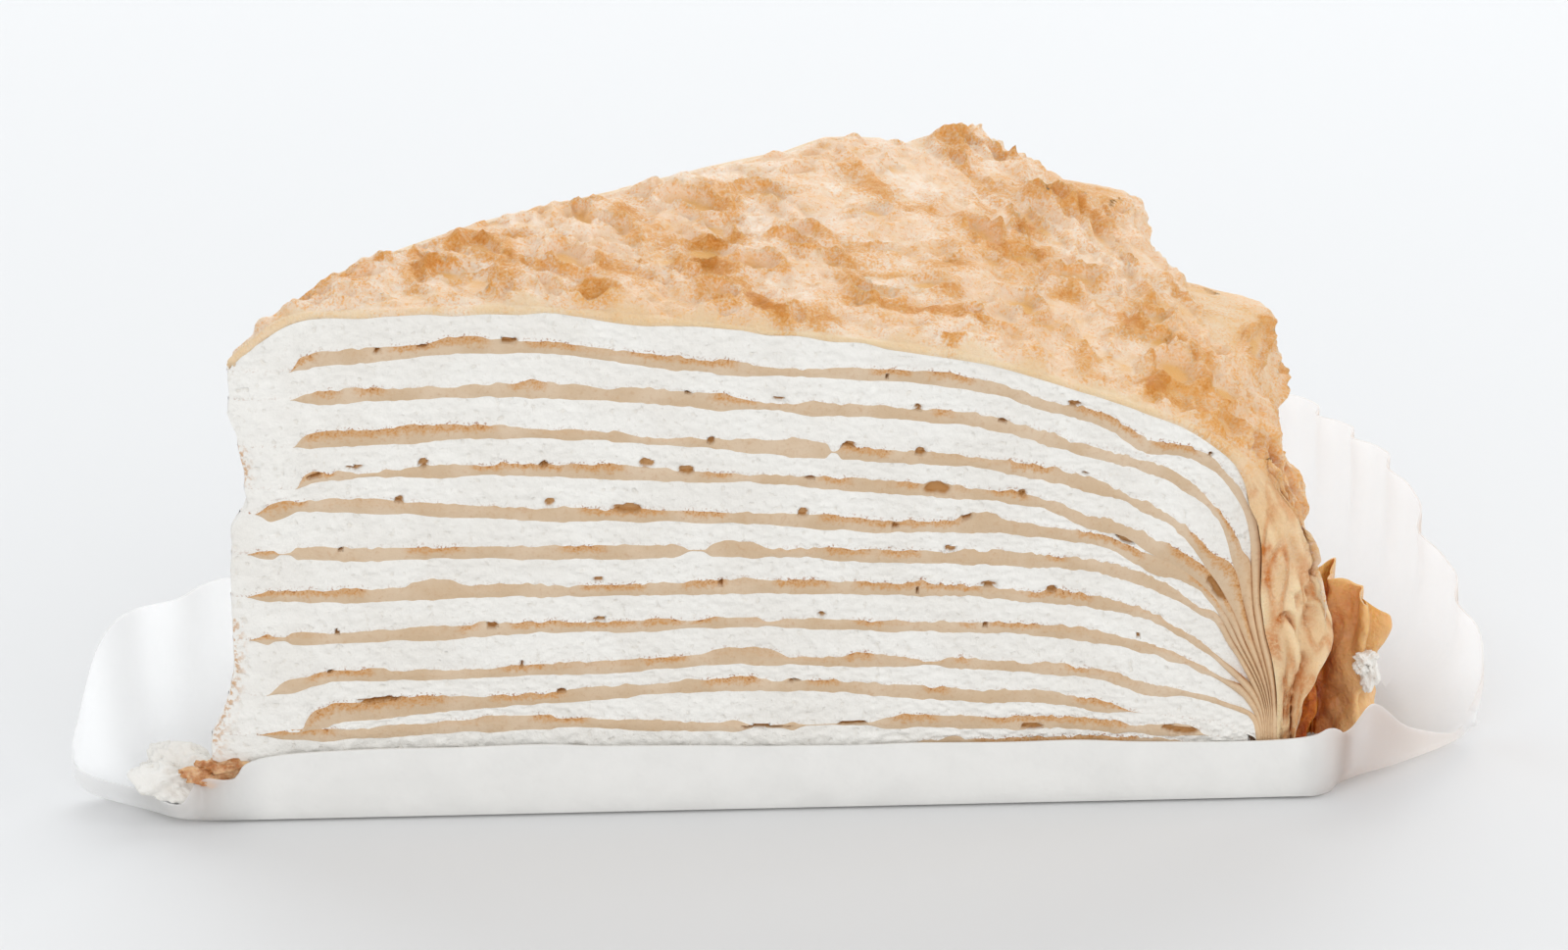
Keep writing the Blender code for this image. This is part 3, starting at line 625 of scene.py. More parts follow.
# Blisters that fell in, seen from above: x, y, half length, half width, degrees, depth
PITS = (
    (2.23, 0.74, 0.22, 0.13, -50, 0.1), (2.53, 0.52, 0.2, 0.2, 0, 0.09),
    (2.57, 1.28, 0.3, 0.13, -62, 0.09), (1.72, 1.17, 0.18, 0.13, 30, 0.06),
    (3.45, 1.06, 0.33, 0.2, -65, 0.13), (3.31, 1.6, 0.13, 0.11, 0, 0.07),
    (3.04, 1.63, 0.1, 0.13, 0, 0.05), (3.58, 2.2, 0.22, 0.11, -75, 0.09),
    (3.88, 1.98, 0.25, 0.1, -50, 0.07), (3.75, 1.65, 0.33, 0.18, 10, 0.04),
    (3.82, 1.28, 0.15, 0.16, 0, 0.05), (4.04, 1.2, 0.09, 0.13, 0, 0.06),
    (3.15, 0.76, 0.26, 0.1, -35, 0.05), (4.38, 1.3, 0.13, 0.15, 0, 0.08),
    (2.8, 0.25, 0.06, 0.24, 0, 0.06), (3.26, 0.32, 0.22, 0.1, -75, 0.06),
    (3.68, 0.27, 0.18, 0.16, 0, 0.07), (1.04, 0.44, 0.1, 0.1, 0, 0.04),
    (1.26, 0.24, 0.1, 0.14, 0, 0.04), (1.45, 0.65, 0.18, 0.12, 40, 0.05),
    (4.68, 2.75, 0.32, 0.22, -20, 0.13), (4.92, 2.2, 0.23, 0.13, -80, 0.1),
    (4.78, 3.2, 0.14, 0.14, 0, 0.06), (4.4, 3.18, 0.1, 0.13, 0, 0.05), (5.08, 2.9, 0.12, 0.14, 0, 0.06),
    (5.43, 3.22, 0.25, 0.15, 0, 0.07), (5.62, 3.08, 0.09, 0.14, 0, 0.06),
    (4.76, 1.55, 0.25, 0.18, -20, 0.12), (5.2, 1.28, 0.26, 0.16, 5, 0.09),
    (5.65, 1.92, 0.22, 0.17, -45, 0.11), (5.78, 2.27, 0.12, 0.14, 0, 0.05),
    (6.03, 1.65, 0.1, 0.11, 0, 0.06), (5.2, 2.05, 0.09, 0.13, 0, 0.06),
    (6.38, 1.0, 0.21, 0.13, -45, 0.11), (6.73, 1.3, 0.17, 0.13, 0, 0.06),
    (6.7, 2.1, 0.12, 0.13, 0, 0.07), (6.16, 2.88, 0.17, 0.16, -60, 0.11),
    (7.08, 2.85, 0.27, 0.17, -72, 0.14), (7.46, 2.5, 0.15, 0.14, 0, 0.09),
    (7.49, 3.07, 0.09, 0.21, 0, 0.1), (7.53, 1.27, 0.26, 0.17, -40, 0.11),
    (4.65, 0.95, 0.1, 0.14, 0, 0.06), (4.87, 0.57, 0.2, 0.14, -50, 0.08),
    (4.57, 0.36, 0.2, 0.12, 0, 0.04), (4.27, 0.9, 0.13, 0.11, 0, 0.06),
    (5.6, 0.22, 0.08, 0.14, 0, 0.05), (7.13, 0.77, 0.08, 0.09, 0, 0.06),
    (7.4, 0.62, 0.2, 0.08, 0, 0.04), (6.4, 1.97, 0.12, 0.13, 0, 0.06),
    (8.03, 2.26, 0.31, 0.19, 15, 0.13), (7.9, 1.0, 0.15, 0.18, 0, 0.09),
    (8.22, 0.92, 0.2, 0.13, 0, 0.08), (8.15, 1.38, 0.13, 0.09, 0, 0.05),
    (8.6, 1.3, 0.12, 0.11, 0, 0.06), (8.77, 0.72, 0.22, 0.12, -75, 0.07),
    (9.3, 0.85, 0.28, 0.2, -20, 0.12), (9.75, 0.9, 0.26, 0.17, 60, 0.11),
    (8.95, 1.74, 0.16, 0.13, 0, 0.08), (9.25, 2.72, 0.15, 0.08, 0, 0.05),
    (9.62, 2.3, 0.13, 0.18, 0, 0.06), (9.9, 2.2, 0.14, 0.36, 10, 0.1),
    (8.6, 2.92, 0.25, 0.09, -70, 0.07), (7.57, 1.68, 0.1, 0.08, 0, 0.05),
    (10.09, 0.35, 0.1, 0.26, 0, 0.08), (9.05, 1.32, 0.13, 0.12, 0, 0.06),
    (8.0, 4.05, 0.22, 0.16, 0, 0.12), (7.61, 3.57, 0.13, 0.13, 0, 0.1),
    (7.82, 3.32, 0.12, 0.11, 0, 0.06), (7.9, 3.05, 0.11, 0.09, 0, 0.06),
    (7.07, 4.78, 0.1, 0.23, 0, 0.07), (7.6, 5.24, 0.14, 0.11, 0, 0.07),
    (7.28, 5.42, 0.2, 0.11, 0, 0.06), (6.6, 4.66, 0.11, 0.21, 0, 0.05),
    (6.34, 4.0, 0.13, 0.12, 0, 0.08), (6.1, 4.48, 0.09, 0.16, 0, 0.05),
    (5.6, 4.08, 0.12, 0.11, 0, 0.05), (5.58, 3.68, 0.09, 0.11, 0, 0.06),
    (7.67, 4.32, 0.12, 0.13, 0, 0.06), (8.47, 3.4, 0.32, 0.11, -68, 0.09),
    (8.8, 4.5, 0.1, 0.22, 0, 0.07), (8.88, 5.38, 0.07, 0.22, 0, 0.06), (7.04, 3.8, 0.1, 0.16, 0, 0.05),
    (8.45, 0.35, 0.1, 0.22, 0, 0.04), (9.8, 0.3, 0.16, 0.2, 0, 0.05),
)
# Where the pan browned it: x, y, half length, half width, degrees, strength
BROWNS = (
    (2.0, 0.95, 0.52, 0.19, 78, 1.0), (2.3, 1.38, 0.28, 0.2, 0, 0.7), (2.66, 1.5, 0.2, 0.12, 0, 0.9),
    (2.85, 1.1, 0.3, 0.09, -75, 0.7), (2.92, 1.72, 0.12, 0.18, 0, 0.6), (3.36, 1.58, 0.15, 0.2, 0, 0.7),
    (3.78, 2.6, 0.38, 0.2, 10, 0.7), (4.08, 2.35, 0.2, 0.36, 0, 1.0), (4.32, 1.86, 0.48, 0.2, -55, 1.0),
    (4.76, 1.22, 0.42, 0.22, -52, 1.0), (5.08, 0.8, 0.3, 0.17, -55, 0.9),
    (5.3, 0.36, 0.45, 0.17, -58, 1.1), (3.86, 0.8, 0.26, 0.3, 0, 0.9), (3.68, 0.32, 0.24, 0.22, 0, 0.8),
    (4.14, 0.62, 0.16, 0.26, 0, 0.8), (3.3, 0.72, 0.32, 0.08, -35, 0.7),
    (1.92, 0.38, 0.12, 0.16, 0, 0.7), (4.1, 1.16, 0.1, 0.14, 0, 0.9), (4.76, 1.76, 0.27, 0.14, 0, 1.1),
    (5.1, 1.88, 0.14, 0.17, 0, 0.8), (5.05, 2.65, 0.17, 0.45, 0, 0.7), (5.3, 3.3, 0.45, 0.25, 0, 0.65),
    (4.2, 2.9, 0.18, 0.2, 0, 0.5), (5.86, 0.26, 0.26, 0.2, 30, 1.0), (6.18, 1.12, 0.17, 0.38, 0, 1.0),
    (6.8, 0.68, 0.55, 0.13, 0, 0.9), (6.9, 1.08, 0.13, 0.28, 0, 0.8), (6.8, 1.72, 0.28, 0.2, 30, 1.0),
    (6.4, 1.45, 0.4, 0.08, 0, 0.6), (7.3, 2.32, 0.38, 0.38, 0, 0.95), (7.35, 1.92, 0.3, 0.22, 0, 0.7),
    (6.9, 2.6, 0.22, 0.38, 0, 0.7), (6.6, 3.2, 0.42, 0.3, 0, 0.7), (6.15, 3.5, 0.27, 0.22, 0, 0.8),
    (8.3, 1.74, 0.3, 0.12, -20, 1.0), (8.72, 1.5, 0.36, 0.14, -25, 1.1),
    (8.68, 1.34, 0.2, 0.12, 0, 0.8), (7.92, 1.82, 0.3, 0.15, 0, 0.7), (9.12, 1.4, 0.3, 0.1, -10, 0.8),
    (9.5, 1.22, 0.16, 0.3, 0, 0.8), (9.58, 0.82, 0.07, 0.3, 0, 1.0), (8.98, 0.9, 0.28, 0.06, -50, 0.9),
    (9.14, 0.48, 0.15, 0.32, 0, 1.5), (9.34, 0.3, 0.18, 0.18, 0, 1.3), (9.52, 0.34, 0.09, 0.26, 0, 1.2),
    (7.12, 0.1, 0.14, 0.12, 0, 0.9), (7.62, 2.72, 0.26, 0.26, 0, 0.9), (7.65, 4.45, 0.34, 0.27, 0, 0.8),
    (8.12, 4.55, 0.17, 0.26, 0, 0.9), (8.32, 4.2, 0.12, 0.32, 0, 0.9), (8.52, 3.8, 0.17, 0.34, 0, 0.9),
    (8.18, 5.5, 0.13, 0.6, 0, 0.7), (9.4, 2.46, 0.32, 0.13, -10, 0.8), (9.95, 2.6, 0.1, 0.4, 0, 0.8),
    (7.2, 3.6, 0.13, 0.24, 0, 0.6), (7.66, 3.3, 0.24, 0.27, 0, 0.8), (2.25, 0.12, 0.16, 0.16, 0, 0.5),
    (1.55, 0.95, 0.2, 0.1, 30, 0.5), (3.25, 1.95, 0.1, 0.2, 0, 0.3), (10.0, 1.3, 0.25, 0.08, 0, 0.6),
)
CRUST_STEPS = (134, 67)  # then every face of the outside is cut in three each way
NOSE = 0.028  # share of the sheet on each side that rolls over its cut edge
GRAIN = math.radians(-62)  # the blisters' long way, in the sheet laid flat


def ruffle(across, height):
    """How far the draped crepe stands out from its plain curve."""
    reach = 0 * height
    for place, top, foot, high, low, half in RUFFLES:
        stands = np.interp(height, (foot - 0.7, foot, top - 0.12, top + 0.05), (0.0, low, high, 0.0))
        reach = reach + stands * np.exp(-(((across - place) / half) ** 2))
    waves = 0.5 + 0.5 * np.sin(2 * math.pi * RIM_WAVES * across + 1.0)
    return reach + RIM_WAVE_DEPTH * waves * smoothstep(4.6, 3.2, height)


def apart(x, y, spot):
    """Distance from a spot on the sheet, which is 1 on the oval of its half length and half width."""
    radius, turn = math.hypot(spot[0], spot[1]), math.radians(spot[4])
    laid = arc_at(radius) / radius
    dx, dy = x - spot[0] * laid, y - spot[1] * laid
    u = (dx * math.cos(turn) + dy * math.sin(turn)) / spot[2]
    v = (dy * math.cos(turn) - dx * math.sin(turn)) / spot[3]
    return np.hypot(u, v)


def blisters(x, y):
    """Height, browning and painted pit shade of the fried side, from a place on the sheet laid flat."""
    bent_x = x + 0.05 * ripple(x * 2.2, y * 2.2, 31) + 0.03 * ripple(x * 6, y * 6, 41)
    bent_y = y + 0.05 * ripple(x * 2.2, y * 2.2, 32) + 0.03 * ripple(x * 6, y * 6, 42)
    pit, lip, brown = 0 * x, 0 * x, 0 * x
    for spot in PITS:
        away = apart(bent_x, bent_y, spot)
        pit = np.maximum(pit, spot[5] * smoothstep(1.2, 0.15, away))
        lip = np.maximum(lip, spot[5] * np.exp(-(((away - 1.25) / 0.25) ** 2)))
    for spot in BROWNS:
        brown = np.maximum(brown, spot[5] * smoothstep(1.55, 0.25, apart(bent_x, bent_y, spot)))
    p, q = x * math.cos(GRAIN) + y * math.sin(GRAIN), y * math.cos(GRAIN) - x * math.sin(GRAIN)
    near, own = cells(bent_x * 3.1, bent_y * 2.6, 5)
    dimple = smoothstep(0.55, 0.1, near) * smoothstep(0.15, 0.8, own)
    near, own = cells(bent_x * 5.6, bent_y * 4.9, 9)
    speckle = smoothstep(0.5, 0.1, near) * smoothstep(0.3, 0.8, own)
    ridge = 0.038 * ripple(p * 1.9, q * 2.8, 34) + 0.032 * (1 - 3 * np.abs(ripple(p * 2.2, q * 3.4, 38)))
    rise = 0.040 * ripple(p * 0.7, q * 1.1, 33) + ridge + 0.020 * ripple(x * 5, y * 4.5, 35)
    rise = rise - 0.030 * np.abs(ripple(x * 7.5, y * 6.5, 39)) + 0.014 * ripple(x * 13, y * 12, 36)
    rise = rise - 1.5 * pit + 0.6 * lip - 0.07 * dimple - 0.04 * speckle
    patch = 0.5 * ripple(p * 0.8, q * 1.5, 36) + 0.4 * ripple(p * 2.2, q * 3.4, 37)
    patch = patch + 5 * lip - 2 * pit + 5 * ridge
    brown = brown * (0.8 + 0.5 * ripple(x * 3.4, y * 3.1, 46) + 0.3 * ripple(x * 7, y * 6, 47))
    brown = np.maximum(brown, 0.5 * smoothstep(0.2, 0.9, patch)) + 0.3 * smoothstep(-0.4, 0.8, patch)
    # painted shade: the pits, dimples and speckles get a darker amber tint in the finish
    pit_shade = pit / 0.12 + 0.4 * dimple + 0.3 * speckle
    return np.maximum(rise, -0.085), brown - 2.5 * pit - 0.15 * dimple, pit_shade


def crust_block():
    """A closed sheet whose outside is three times as fine each way as its underside."""
    bm = bmesh.new()
    bmesh.ops.create_grid(bm, x_segments=CRUST_STEPS[0], y_segments=CRUST_STEPS[1], size=0.5)
    bmesh.ops.translate(bm, verts=bm.verts, vec=(0.5, 0.5, 0))
    made = bmesh.ops.extrude_face_region(bm, geom=bm.faces[:])["geom"]
    moved = [item for item in made if isinstance(item, bmesh.types.BMVert)]
    bmesh.ops.translate(bm, verts=moved, vec=(0, 0, 1))
    outside = [edge for edge in bm.edges if all(vert.co.z > 0.5 for vert in edge.verts)]
    bmesh.ops.subdivide_edges(bm, edges=outside, cuts=2, use_grid_fill=True)
    bmesh.ops.recalc_face_normals(bm, faces=bm.faces)
    mesh = bpy.data.meshes.new("crust")
    bm.to_mesh(mesh)
    bm.free()
    return mesh, shares_of(mesh)


def crust_finish():
    made = Finish("fried_crepe", {
        "Roughness": 0.38, "Specular IOR Level": 0.5, "Subsurface Weight": 0.2,
        "Subsurface Radius": (1.0, 0.75, 0.5), "Subsurface Scale": 0.001,
    })
    brown, pit, band, crease, rim, hem = (
        made.mask(name) for name in ("browned", "pit", "band", "crease", "rim", "hem")
    )
    fine, speck, broad = made.noise(0.06, 5, 0.7), made.noise(0.025, 3, 0.6), made.noise(0.9, 3)
    pale = made.mix(broad.between(0.35, 0.65), colour(242, 210, 178), colour(248, 229, 209))
    pale = made.mix(made.noise(0.18, 4).between(0.42, 0.72) * 0.6, pale, colour(235, 189, 128))
    # painted shade: a darker amber tint in the pits
    pale = made.mix(pit.between(0.1, 1.0) * 0.9, pale, colour(234, 176, 92))
    pale = made.mix(rim * 0.5, pale, colour(237, 184, 112))
    toast = brown * 0.85 + (fine - 0.5) * 2.2 + (speck - 0.5) * 2.2 + 0.12
    golden = made.mix(toast.between(0.0, 0.9) * 0.9, pale, colour(241, 172, 80))
    rust = made.mix(toast.between(0.7, 1.4) * 0.8, golden, colour(229, 142, 36))
    edge = made.mix(broad.between(0.3, 0.7), colour(238, 204, 158), colour(241, 214, 176))
    skin = made.mix(band * (1 - brown.between(0.1, 0.6)) * 0.8, rust, edge)
    lying = made.node("Mapping", {}, {"Vector": made.where, "Scale": (1.0, 1.0, 0.3)})
    folded = {"Vector": lying, "Scale": 3.2 / CM, "Detail": 1.0, "Roughness": 0.4}
    fold = made.node("TexNoise", {}, folded)
    # ditch: the narrow troughs between the hem's folds, where painted shade goes
    ditch = (1 - abs(fold - 0.47) * 16).between(0.0, 1.0) * hem
    skin = made.mix(hem * 0.6, skin, colour(232, 190, 138))
    # painted highlight: the crests of the hem's folds are lighter
    skin = made.mix(hem * fold.between(0.48, 0.66) * 0.75, skin, colour(248, 222, 180))
    # painted shade: darker orange in the hem's ditches and creases
    skin = made.mix((ditch * 0.55 + crease * 0.8) * fine.between(0.2, 0.6), skin, colour(206, 120, 40))
    rough = fine * (brown + 0.45) * 1.1 + speck * 0.5 + hem * fold * 2 - ditch * 0.5
    made.feed(made.shader, {"Base Color": skin, "Normal": made.bump(rough, 0.036)})
    return made.material


fried_crepe = crust_finish()
trace = np.linspace(0, 2, 4000)
trace_radius, trace_height = middle_line(0, trace, 0 * trace)
travelled = np.concatenate(([0], np.cumsum(np.hypot(np.diff(trace_radius), np.diff(trace_height)))))


def arc_at(radius):
    """How far along the sheet a place lies whose distance from the tip is this, seen from above."""
    return TIP_CUT + np.interp(radius, trace_radius, travelled)


mesh, (run, across, up) = crust_block()
across = across - 0.095 * np.sin(2 * math.pi * across)  # finer steps towards the cuts
reach = travelled[-1] * (1.12 * run - 0.12 * run**3)  # finer steps towards the hem
along = np.interp(reach, travelled, trace)
outer = up > 0.5
share = np.where(outer, np.clip((across - NOSE) / (1 - 2 * NOSE), 0, 1), across)
roll = np.where(outer, np.clip(np.minimum(across, 1 - across) / NOSE, 0, 1), 0.0)
radius, _ = middle_line(0, along, share)
gather = gather_at(along, share)
thin = 0.25 + 0.75 * smoothstep(0.15, 0.6, radius) * smoothstep(2.0, 1.93, along)
angle = WEDGE * share
sheet_x, sheet_y = (reach + TIP_CUT) * np.cos(angle), (reach + TIP_CUT) * np.sin(angle)
to_cut = (reach + TIP_CUT) * np.minimum(np.sin(angle), np.sin(WEDGE - angle))
# pit: where shade is painted into the pits, dimples and speckles as a darker amber
rise, brown, pit = blisters(sheet_x, sheet_y)
calm = (0.6 + 0.4 * smoothstep(0.0, 0.14, to_cut)) * (1 - 0.7 * gather)
calm = calm * (0.4 + 0.6 * smoothstep(0.2, 1.2, reach))
around = 0.35 * roll + to_cut
fold = ripple(reach * 0.9, around * 7, 44) + 0.5 * ripple(reach * 2.1, around * 12, 45)
# crease: the hem's creases, pressed in here and given painted shade in the finish
crease = smoothstep(0.20, 0.0, np.abs(fold)) * gather
rise = rise * calm * (1 + 0.5 * smoothstep(8.6, 9.8, radius))
rise = rise + gather * (0.15 * fold - 0.09 * crease) * smoothstep(0.0, 0.5, roll)
bulge = gather * (0.13 * fold - 0.12 * crease) * smoothstep(0.0, 0.2, roll)
inner = np.stack(face(0, along, share, -1))
lift = CRUST_HALF * thin - 0.075 * smoothstep(0.12, 0.0, to_cut) * (1 - gather)
outside = np.stack(settled(*offset_line(0, along, share, np.maximum(1.35 * lift + rise, -0.005))))
swell = np.where(outer, np.sin((0.15 + 0.85 * roll) * math.pi / 2), 0.0)
radius, height = inner + (outside - inner) * swell
thickness = np.hypot(*(outside - inner))
recess = np.where(outer, 0.6 * thickness * (1 - np.cos(roll * math.pi / 2)), 0.0)
recess = np.minimum(recess, 0.3 * radius) * smoothstep(0.35, 0.0, to_cut)
stirred = np.where(outer, roll, smoothstep(0.0, 0.12, np.minimum(share, 1 - share)))
radius = radius + ruffle(share, height) * smoothstep(9.4, 10.3, radius) * stirred
points = stand(radius, height, share, recess - bulge - 0.10 * gather * smoothstep(0.8, 1.3, height))
brown = (brown + 0.1 * smoothstep(8.6, 9.8, radius)) * calm * smoothstep(0.0, 1.2, reach)
masks = {
    "browned": brown, "pit": pit * calm, "crease": crease,
    "hem": gather * smoothstep(0.35, 0.15, to_cut),
    "rim": smoothstep(5.2, 3.9, height) * (0.6 + 0.4 * ripple(sheet_x * 1.5, sheet_y * 1.5, 48)),
    "band": 1 - smoothstep(0.0, 0.08, to_cut + 0.08 * ripple(sheet_x * 3, sheet_y * 3, 40)),
}
finish(mesh, "crust", points, masks, fried_crepe, "crust", ("crust",), 80)

# ---------------------------------------------------------------------------------------
# The loose edge of crepe behind the rim: a strip curled on its side and fried amber,
# with a frilled upper edge and crumbs of cream caught beside it. Its dark left part and foot
# carry painted shade, and its lighter right end and top edge carry painted light.
# ---------------------------------------------------------------------------------------
FLAP_PATH = np.array((
    (10.80, 0.80, 1.50), (10.86, 1.30, 1.88), (11.08, 1.34, 1.92), (11.40, 1.00, 1.72),
    (11.56, 1.28, 1.45), (11.28, 1.86, 1.25), (10.98, 2.36, 1.15),
))
FLAP_STEPS = (240, 6, 60)
FLAP_HALF = 0.06
FLAP_FOOT = 0.12


def curve_at(stations, share, closed=False):
    """Points on the smooth curve through these stations, at shares of the way along it."""
    count = len(stations)
    place = share * (count if closed else count - 1)
    index = np.clip(np.floor(place).astype(int), 0, count - 1 if closed else count - 2)
    steps = [index + k for k in (-1, 0, 1, 2)]
    steps = [s % count if closed else np.clip(s, 0, count - 1) for s in steps]
    return smooth_between(*(stations[s] for s in steps), (place - index)[:, None])


def amber_finish():
    made = Finish("amber_crepe", {
        "Roughness": 0.35, "Specular IOR Level": 0.5, "Subsurface Weight": 0.25,
        "Subsurface Radius": (1.0, 0.35, 0.1), "Subsurface Scale": 0.0015, "Coat Weight": 0.15,
    })
    top, far = made.mask("up"), made.mask("far")
    grain = made.noise(0.12, 4, 0.6)
    # browned amber, darkened with painted shade, which stays at the left end and the foot
    amber = made.mix(grain.between(0.3, 0.7), colour(158, 64, 2), colour(208, 118, 30))
    # painted light: the right end is lighter, as if lit while the left lies in shade
    amber = made.mix(far * 0.9, amber, colour(242, 196, 136))
    # painted highlight: lighter towards the frilled top edge
    amber = made.mix((top + (grain - 0.5) * 0.5).between(0.55, 1.0), amber, colour(232, 178, 112))
    made.feed(made.shader, {"Base Color": amber, "Normal": made.bump(grain, 0.05)})
    return made.material


mesh, (run, side, up) = block(FLAP_STEPS)
spot, ahead, behind = (curve_at(FLAP_PATH, np.clip(run + d, 0, 1)) for d in (0, 0.02, -0.02))
heading = ahead[:, :2] - behind[:, :2]
heading = heading / np.linalg.norm(heading, axis=1)[:, None]
top = spot[:, 2] + 0.05 * ripple(run * 16, 0 * run, 51) + 0.05 * ripple(run * 40, 0 * run, 53)
height = FLAP_FOOT + (top - FLAP_FOOT) * up
frill = np.sin(run * 62 + 2 * ripple(run * 7, 0 * run, 54)) + 0.6 * ripple(run * 45, height * 3, 55)
sway = (side - 0.5) * 2 * FLAP_HALF * (1 - 0.7 * up) + 0.12 * smoothstep(0.45, 1.0, up) * frill
sway = sway + 0.10 * ripple(run * 9, height * 2.2, 52) + 0.04 * ripple(run * 22, height * 6, 56)
x, y = spot[:, 0] - heading[:, 1] * sway, spot[:, 1] + heading[:, 0] * sway
points = placed(x, y, height)
# far: the lit right end, where painted light is laid
masks = {"up": up, "far": smoothstep(11.05, 11.36, spot[:, 0])}
finish(mesh, "rim_flap", points, masks, amber_finish(), "browned_crepe", ("rim_flap",), 60)


LOWEST = 0.04  # nothing lies lower than the paper's upper side


def lump(name, middle, half, seed, rough, material, slot, replaced, turn=0.0):
    """An uneven blob, pressed and torn out of a ball."""
    bm = bmesh.new()
    bmesh.ops.create_icosphere(bm, subdivisions=6, radius=1.0)
    mesh = bpy.data.meshes.new(name)
    bm.to_mesh(mesh)
    bm.free()
    x, y, z = shares_of(mesh)
    wave = 1 + rough * ripple(x * 1.7 + z, y * 1.7 - z, seed)
    wave = wave + 0.4 * rough * ripple(x * 4 - z * 3, y * 4 + z * 2, seed + 1)
    wave = wave + 0.18 * rough * ripple(x * 11 + z * 5, y * 11 - z * 7, seed + 2)
    x, y, z = x * wave * half[0], y * wave * half[1], z * wave * half[2]
    x, z = x * math.cos(turn) - z * math.sin(turn), x * math.sin(turn) + z * math.cos(turn)
    height = np.maximum(z + middle[2], LOWEST)
    points = placed(x + middle[0], y + middle[1], height)
    clear = {mask: 0 * x for mask in ("crumbs", "hole", "smear")}
    finish(mesh, name, points, clear, material, slot, replaced, 80)


for index, (middle, half) in enumerate((
    ((11.46, 0.88, 1.12), (0.12, 0.07, 0.07)), ((11.50, 0.90, 0.92), (0.08, 0.06, 0.16)),
    ((11.40, 0.86, 1.02), (0.07, 0.05, 0.06)),
)):
    lump(f"rim_cream_{index + 1}", middle, half, 60 + index, 0.45, whipped_cream, "cream", ())

# ---------------------------------------------------------------------------------------
# Scraps at the tip: a torn corner of browned crepe lying on a smear of cream, both pushed
# off the cake by the knife.
# ---------------------------------------------------------------------------------------
def scrap_finish():
    made = Finish("torn_crepe", {
        "Roughness": 0.5, "Specular IOR Level": 0.35, "Subsurface Weight": 0.3,
        "Subsurface Radius": (1.0, 0.5, 0.25), "Subsurface Scale": 0.0012,
    })
    grain = made.noise(0.12, 4, 0.6)
    tan = made.mix(grain.between(0.35, 0.65), colour(178, 116, 66), colour(224, 184, 142))
    made.feed(made.shader, {"Base Color": tan, "Normal": made.bump(grain, 0.05)})
    return made.material


torn_crepe = scrap_finish()
lump("tip_crumb", (-0.21, 0.02, 0.51), (0.30, 0.11, 0.11), 70, 0.75,
     torn_crepe, "browned_crepe", ("tip_crumb",), 0.1)
lump("tip_smear", (-0.54, 0.34, 0.32), (0.50, 0.30, 0.28), 74, 0.45,
     whipped_cream, "cream", ("tip_smear",))

# ---------------------------------------------------------------------------------------
# The paper cup: one sheet of thin white glassine, flat under the slice, pressed up against
# the front cut, and folded into radiating pleats where it stands free round the rest.
# ---------------------------------------------------------------------------------------
PAPER_STATIONS = (
    # base x, y    edge x, y, z         how pleated
    ((-0.28, 0.000), (-0.32, -0.120, 0.50), 0),
    ((0.02, -0.010), (0.00, -0.110, 0.50), 0),
    ((0.45, -0.010), (0.45, -0.090, 0.72), 0),
    ((3.00, -0.010), (3.00, -0.090, 0.77), 0),
    ((7.00, -0.010), (7.00, -0.090, 0.71), 0),
    ((10.30, -0.010), (10.30, -0.090, 0.68), 0),
    ((10.90, 0.02), (10.95, -0.12, 0.80), 0),
    ((11.12, 0.28), (11.16, 0.10, 0.64), 0),
    ((11.35, 0.46), (11.42, 0.10, 0.93), 0),
    ((11.62, 0.66), (11.86, 0.45, 0.52), 0),
    ((11.95, 1.00), (12.62, 1.24, 0.14), 1),
    ((11.98, 1.30), (12.72, 1.40, 0.60), 1),
    ((12.00, 1.60), (12.72, 1.62, 1.14), 1),
    ((11.98, 2.40), (12.44, 2.70, 1.62), 1),
    ((11.78, 3.60), (12.10, 3.90, 2.10), 1),
    ((11.40, 4.90), (11.68, 5.15, 2.05), 1),
    ((10.70, 6.40), (11.00, 6.90, 1.90), 1),
    ((9.20, 7.70), (9.30, 8.30, 1.80), 1),
    ((6.60, 5.95), (6.30, 6.45, 1.70), 1),
    ((4.20, 3.90), (3.85, 4.35, 1.65), 1),
    ((1.90, 2.00), (1.50, 2.55, 1.65), 1),
    ((0.20, 1.20), (-0.10, 2.00, 1.74), 1),
    ((-0.60, 1.00), (-0.85, 1.42, 1.72), 1),
    ((-1.00, 0.80), (-1.28, 0.90, 1.66), 0),
    ((-1.28, 0.66), (-1.56, 0.80, 0.86), 0),
    ((-1.30, 0.54), (-1.62, 0.66, 0.32), 0),
    ((-0.85, 0.26), (-1.00, 0.20, 0.26), 0),
    ((-0.48, 0.05), (-0.56, -0.08, 0.20), 0),
)
PAPER_AROUND = 1080
PAPER_ROWS = 14
PAPER_THICK = 0.02
PLEAT_DEPTH = 0.07
PLEAT_PITCH = 0.85


def paper_finish():
    made = Finish("glassine", {"Roughness": 0.45, "Specular IOR Level": 0.3})
    free = made.mask("free")
    pale = made.mix(made.noise(0.7).between(0.3, 0.7), colour(236, 235, 232), colour(242, 241, 238))
    pale = made.mix(free, pale, colour(253, 253, 253))
    normal = made.bump(made.noise(0.35, 3), 0.02)
    made.feed(made.shader, {"Base Color": pale, "Normal": normal})
    glow = made.node("BsdfTranslucent", {}, {"Color": pale, "Normal": normal})
    plain = Value(made, made.shader.outputs[0])
    both = made.node("MixShader", {}, {0: free * 0.8 + 0.05, 1: plain, 2: glow})
    made.feed(made.tree.nodes["Material Output"], {"Surface": both})
    return made.material


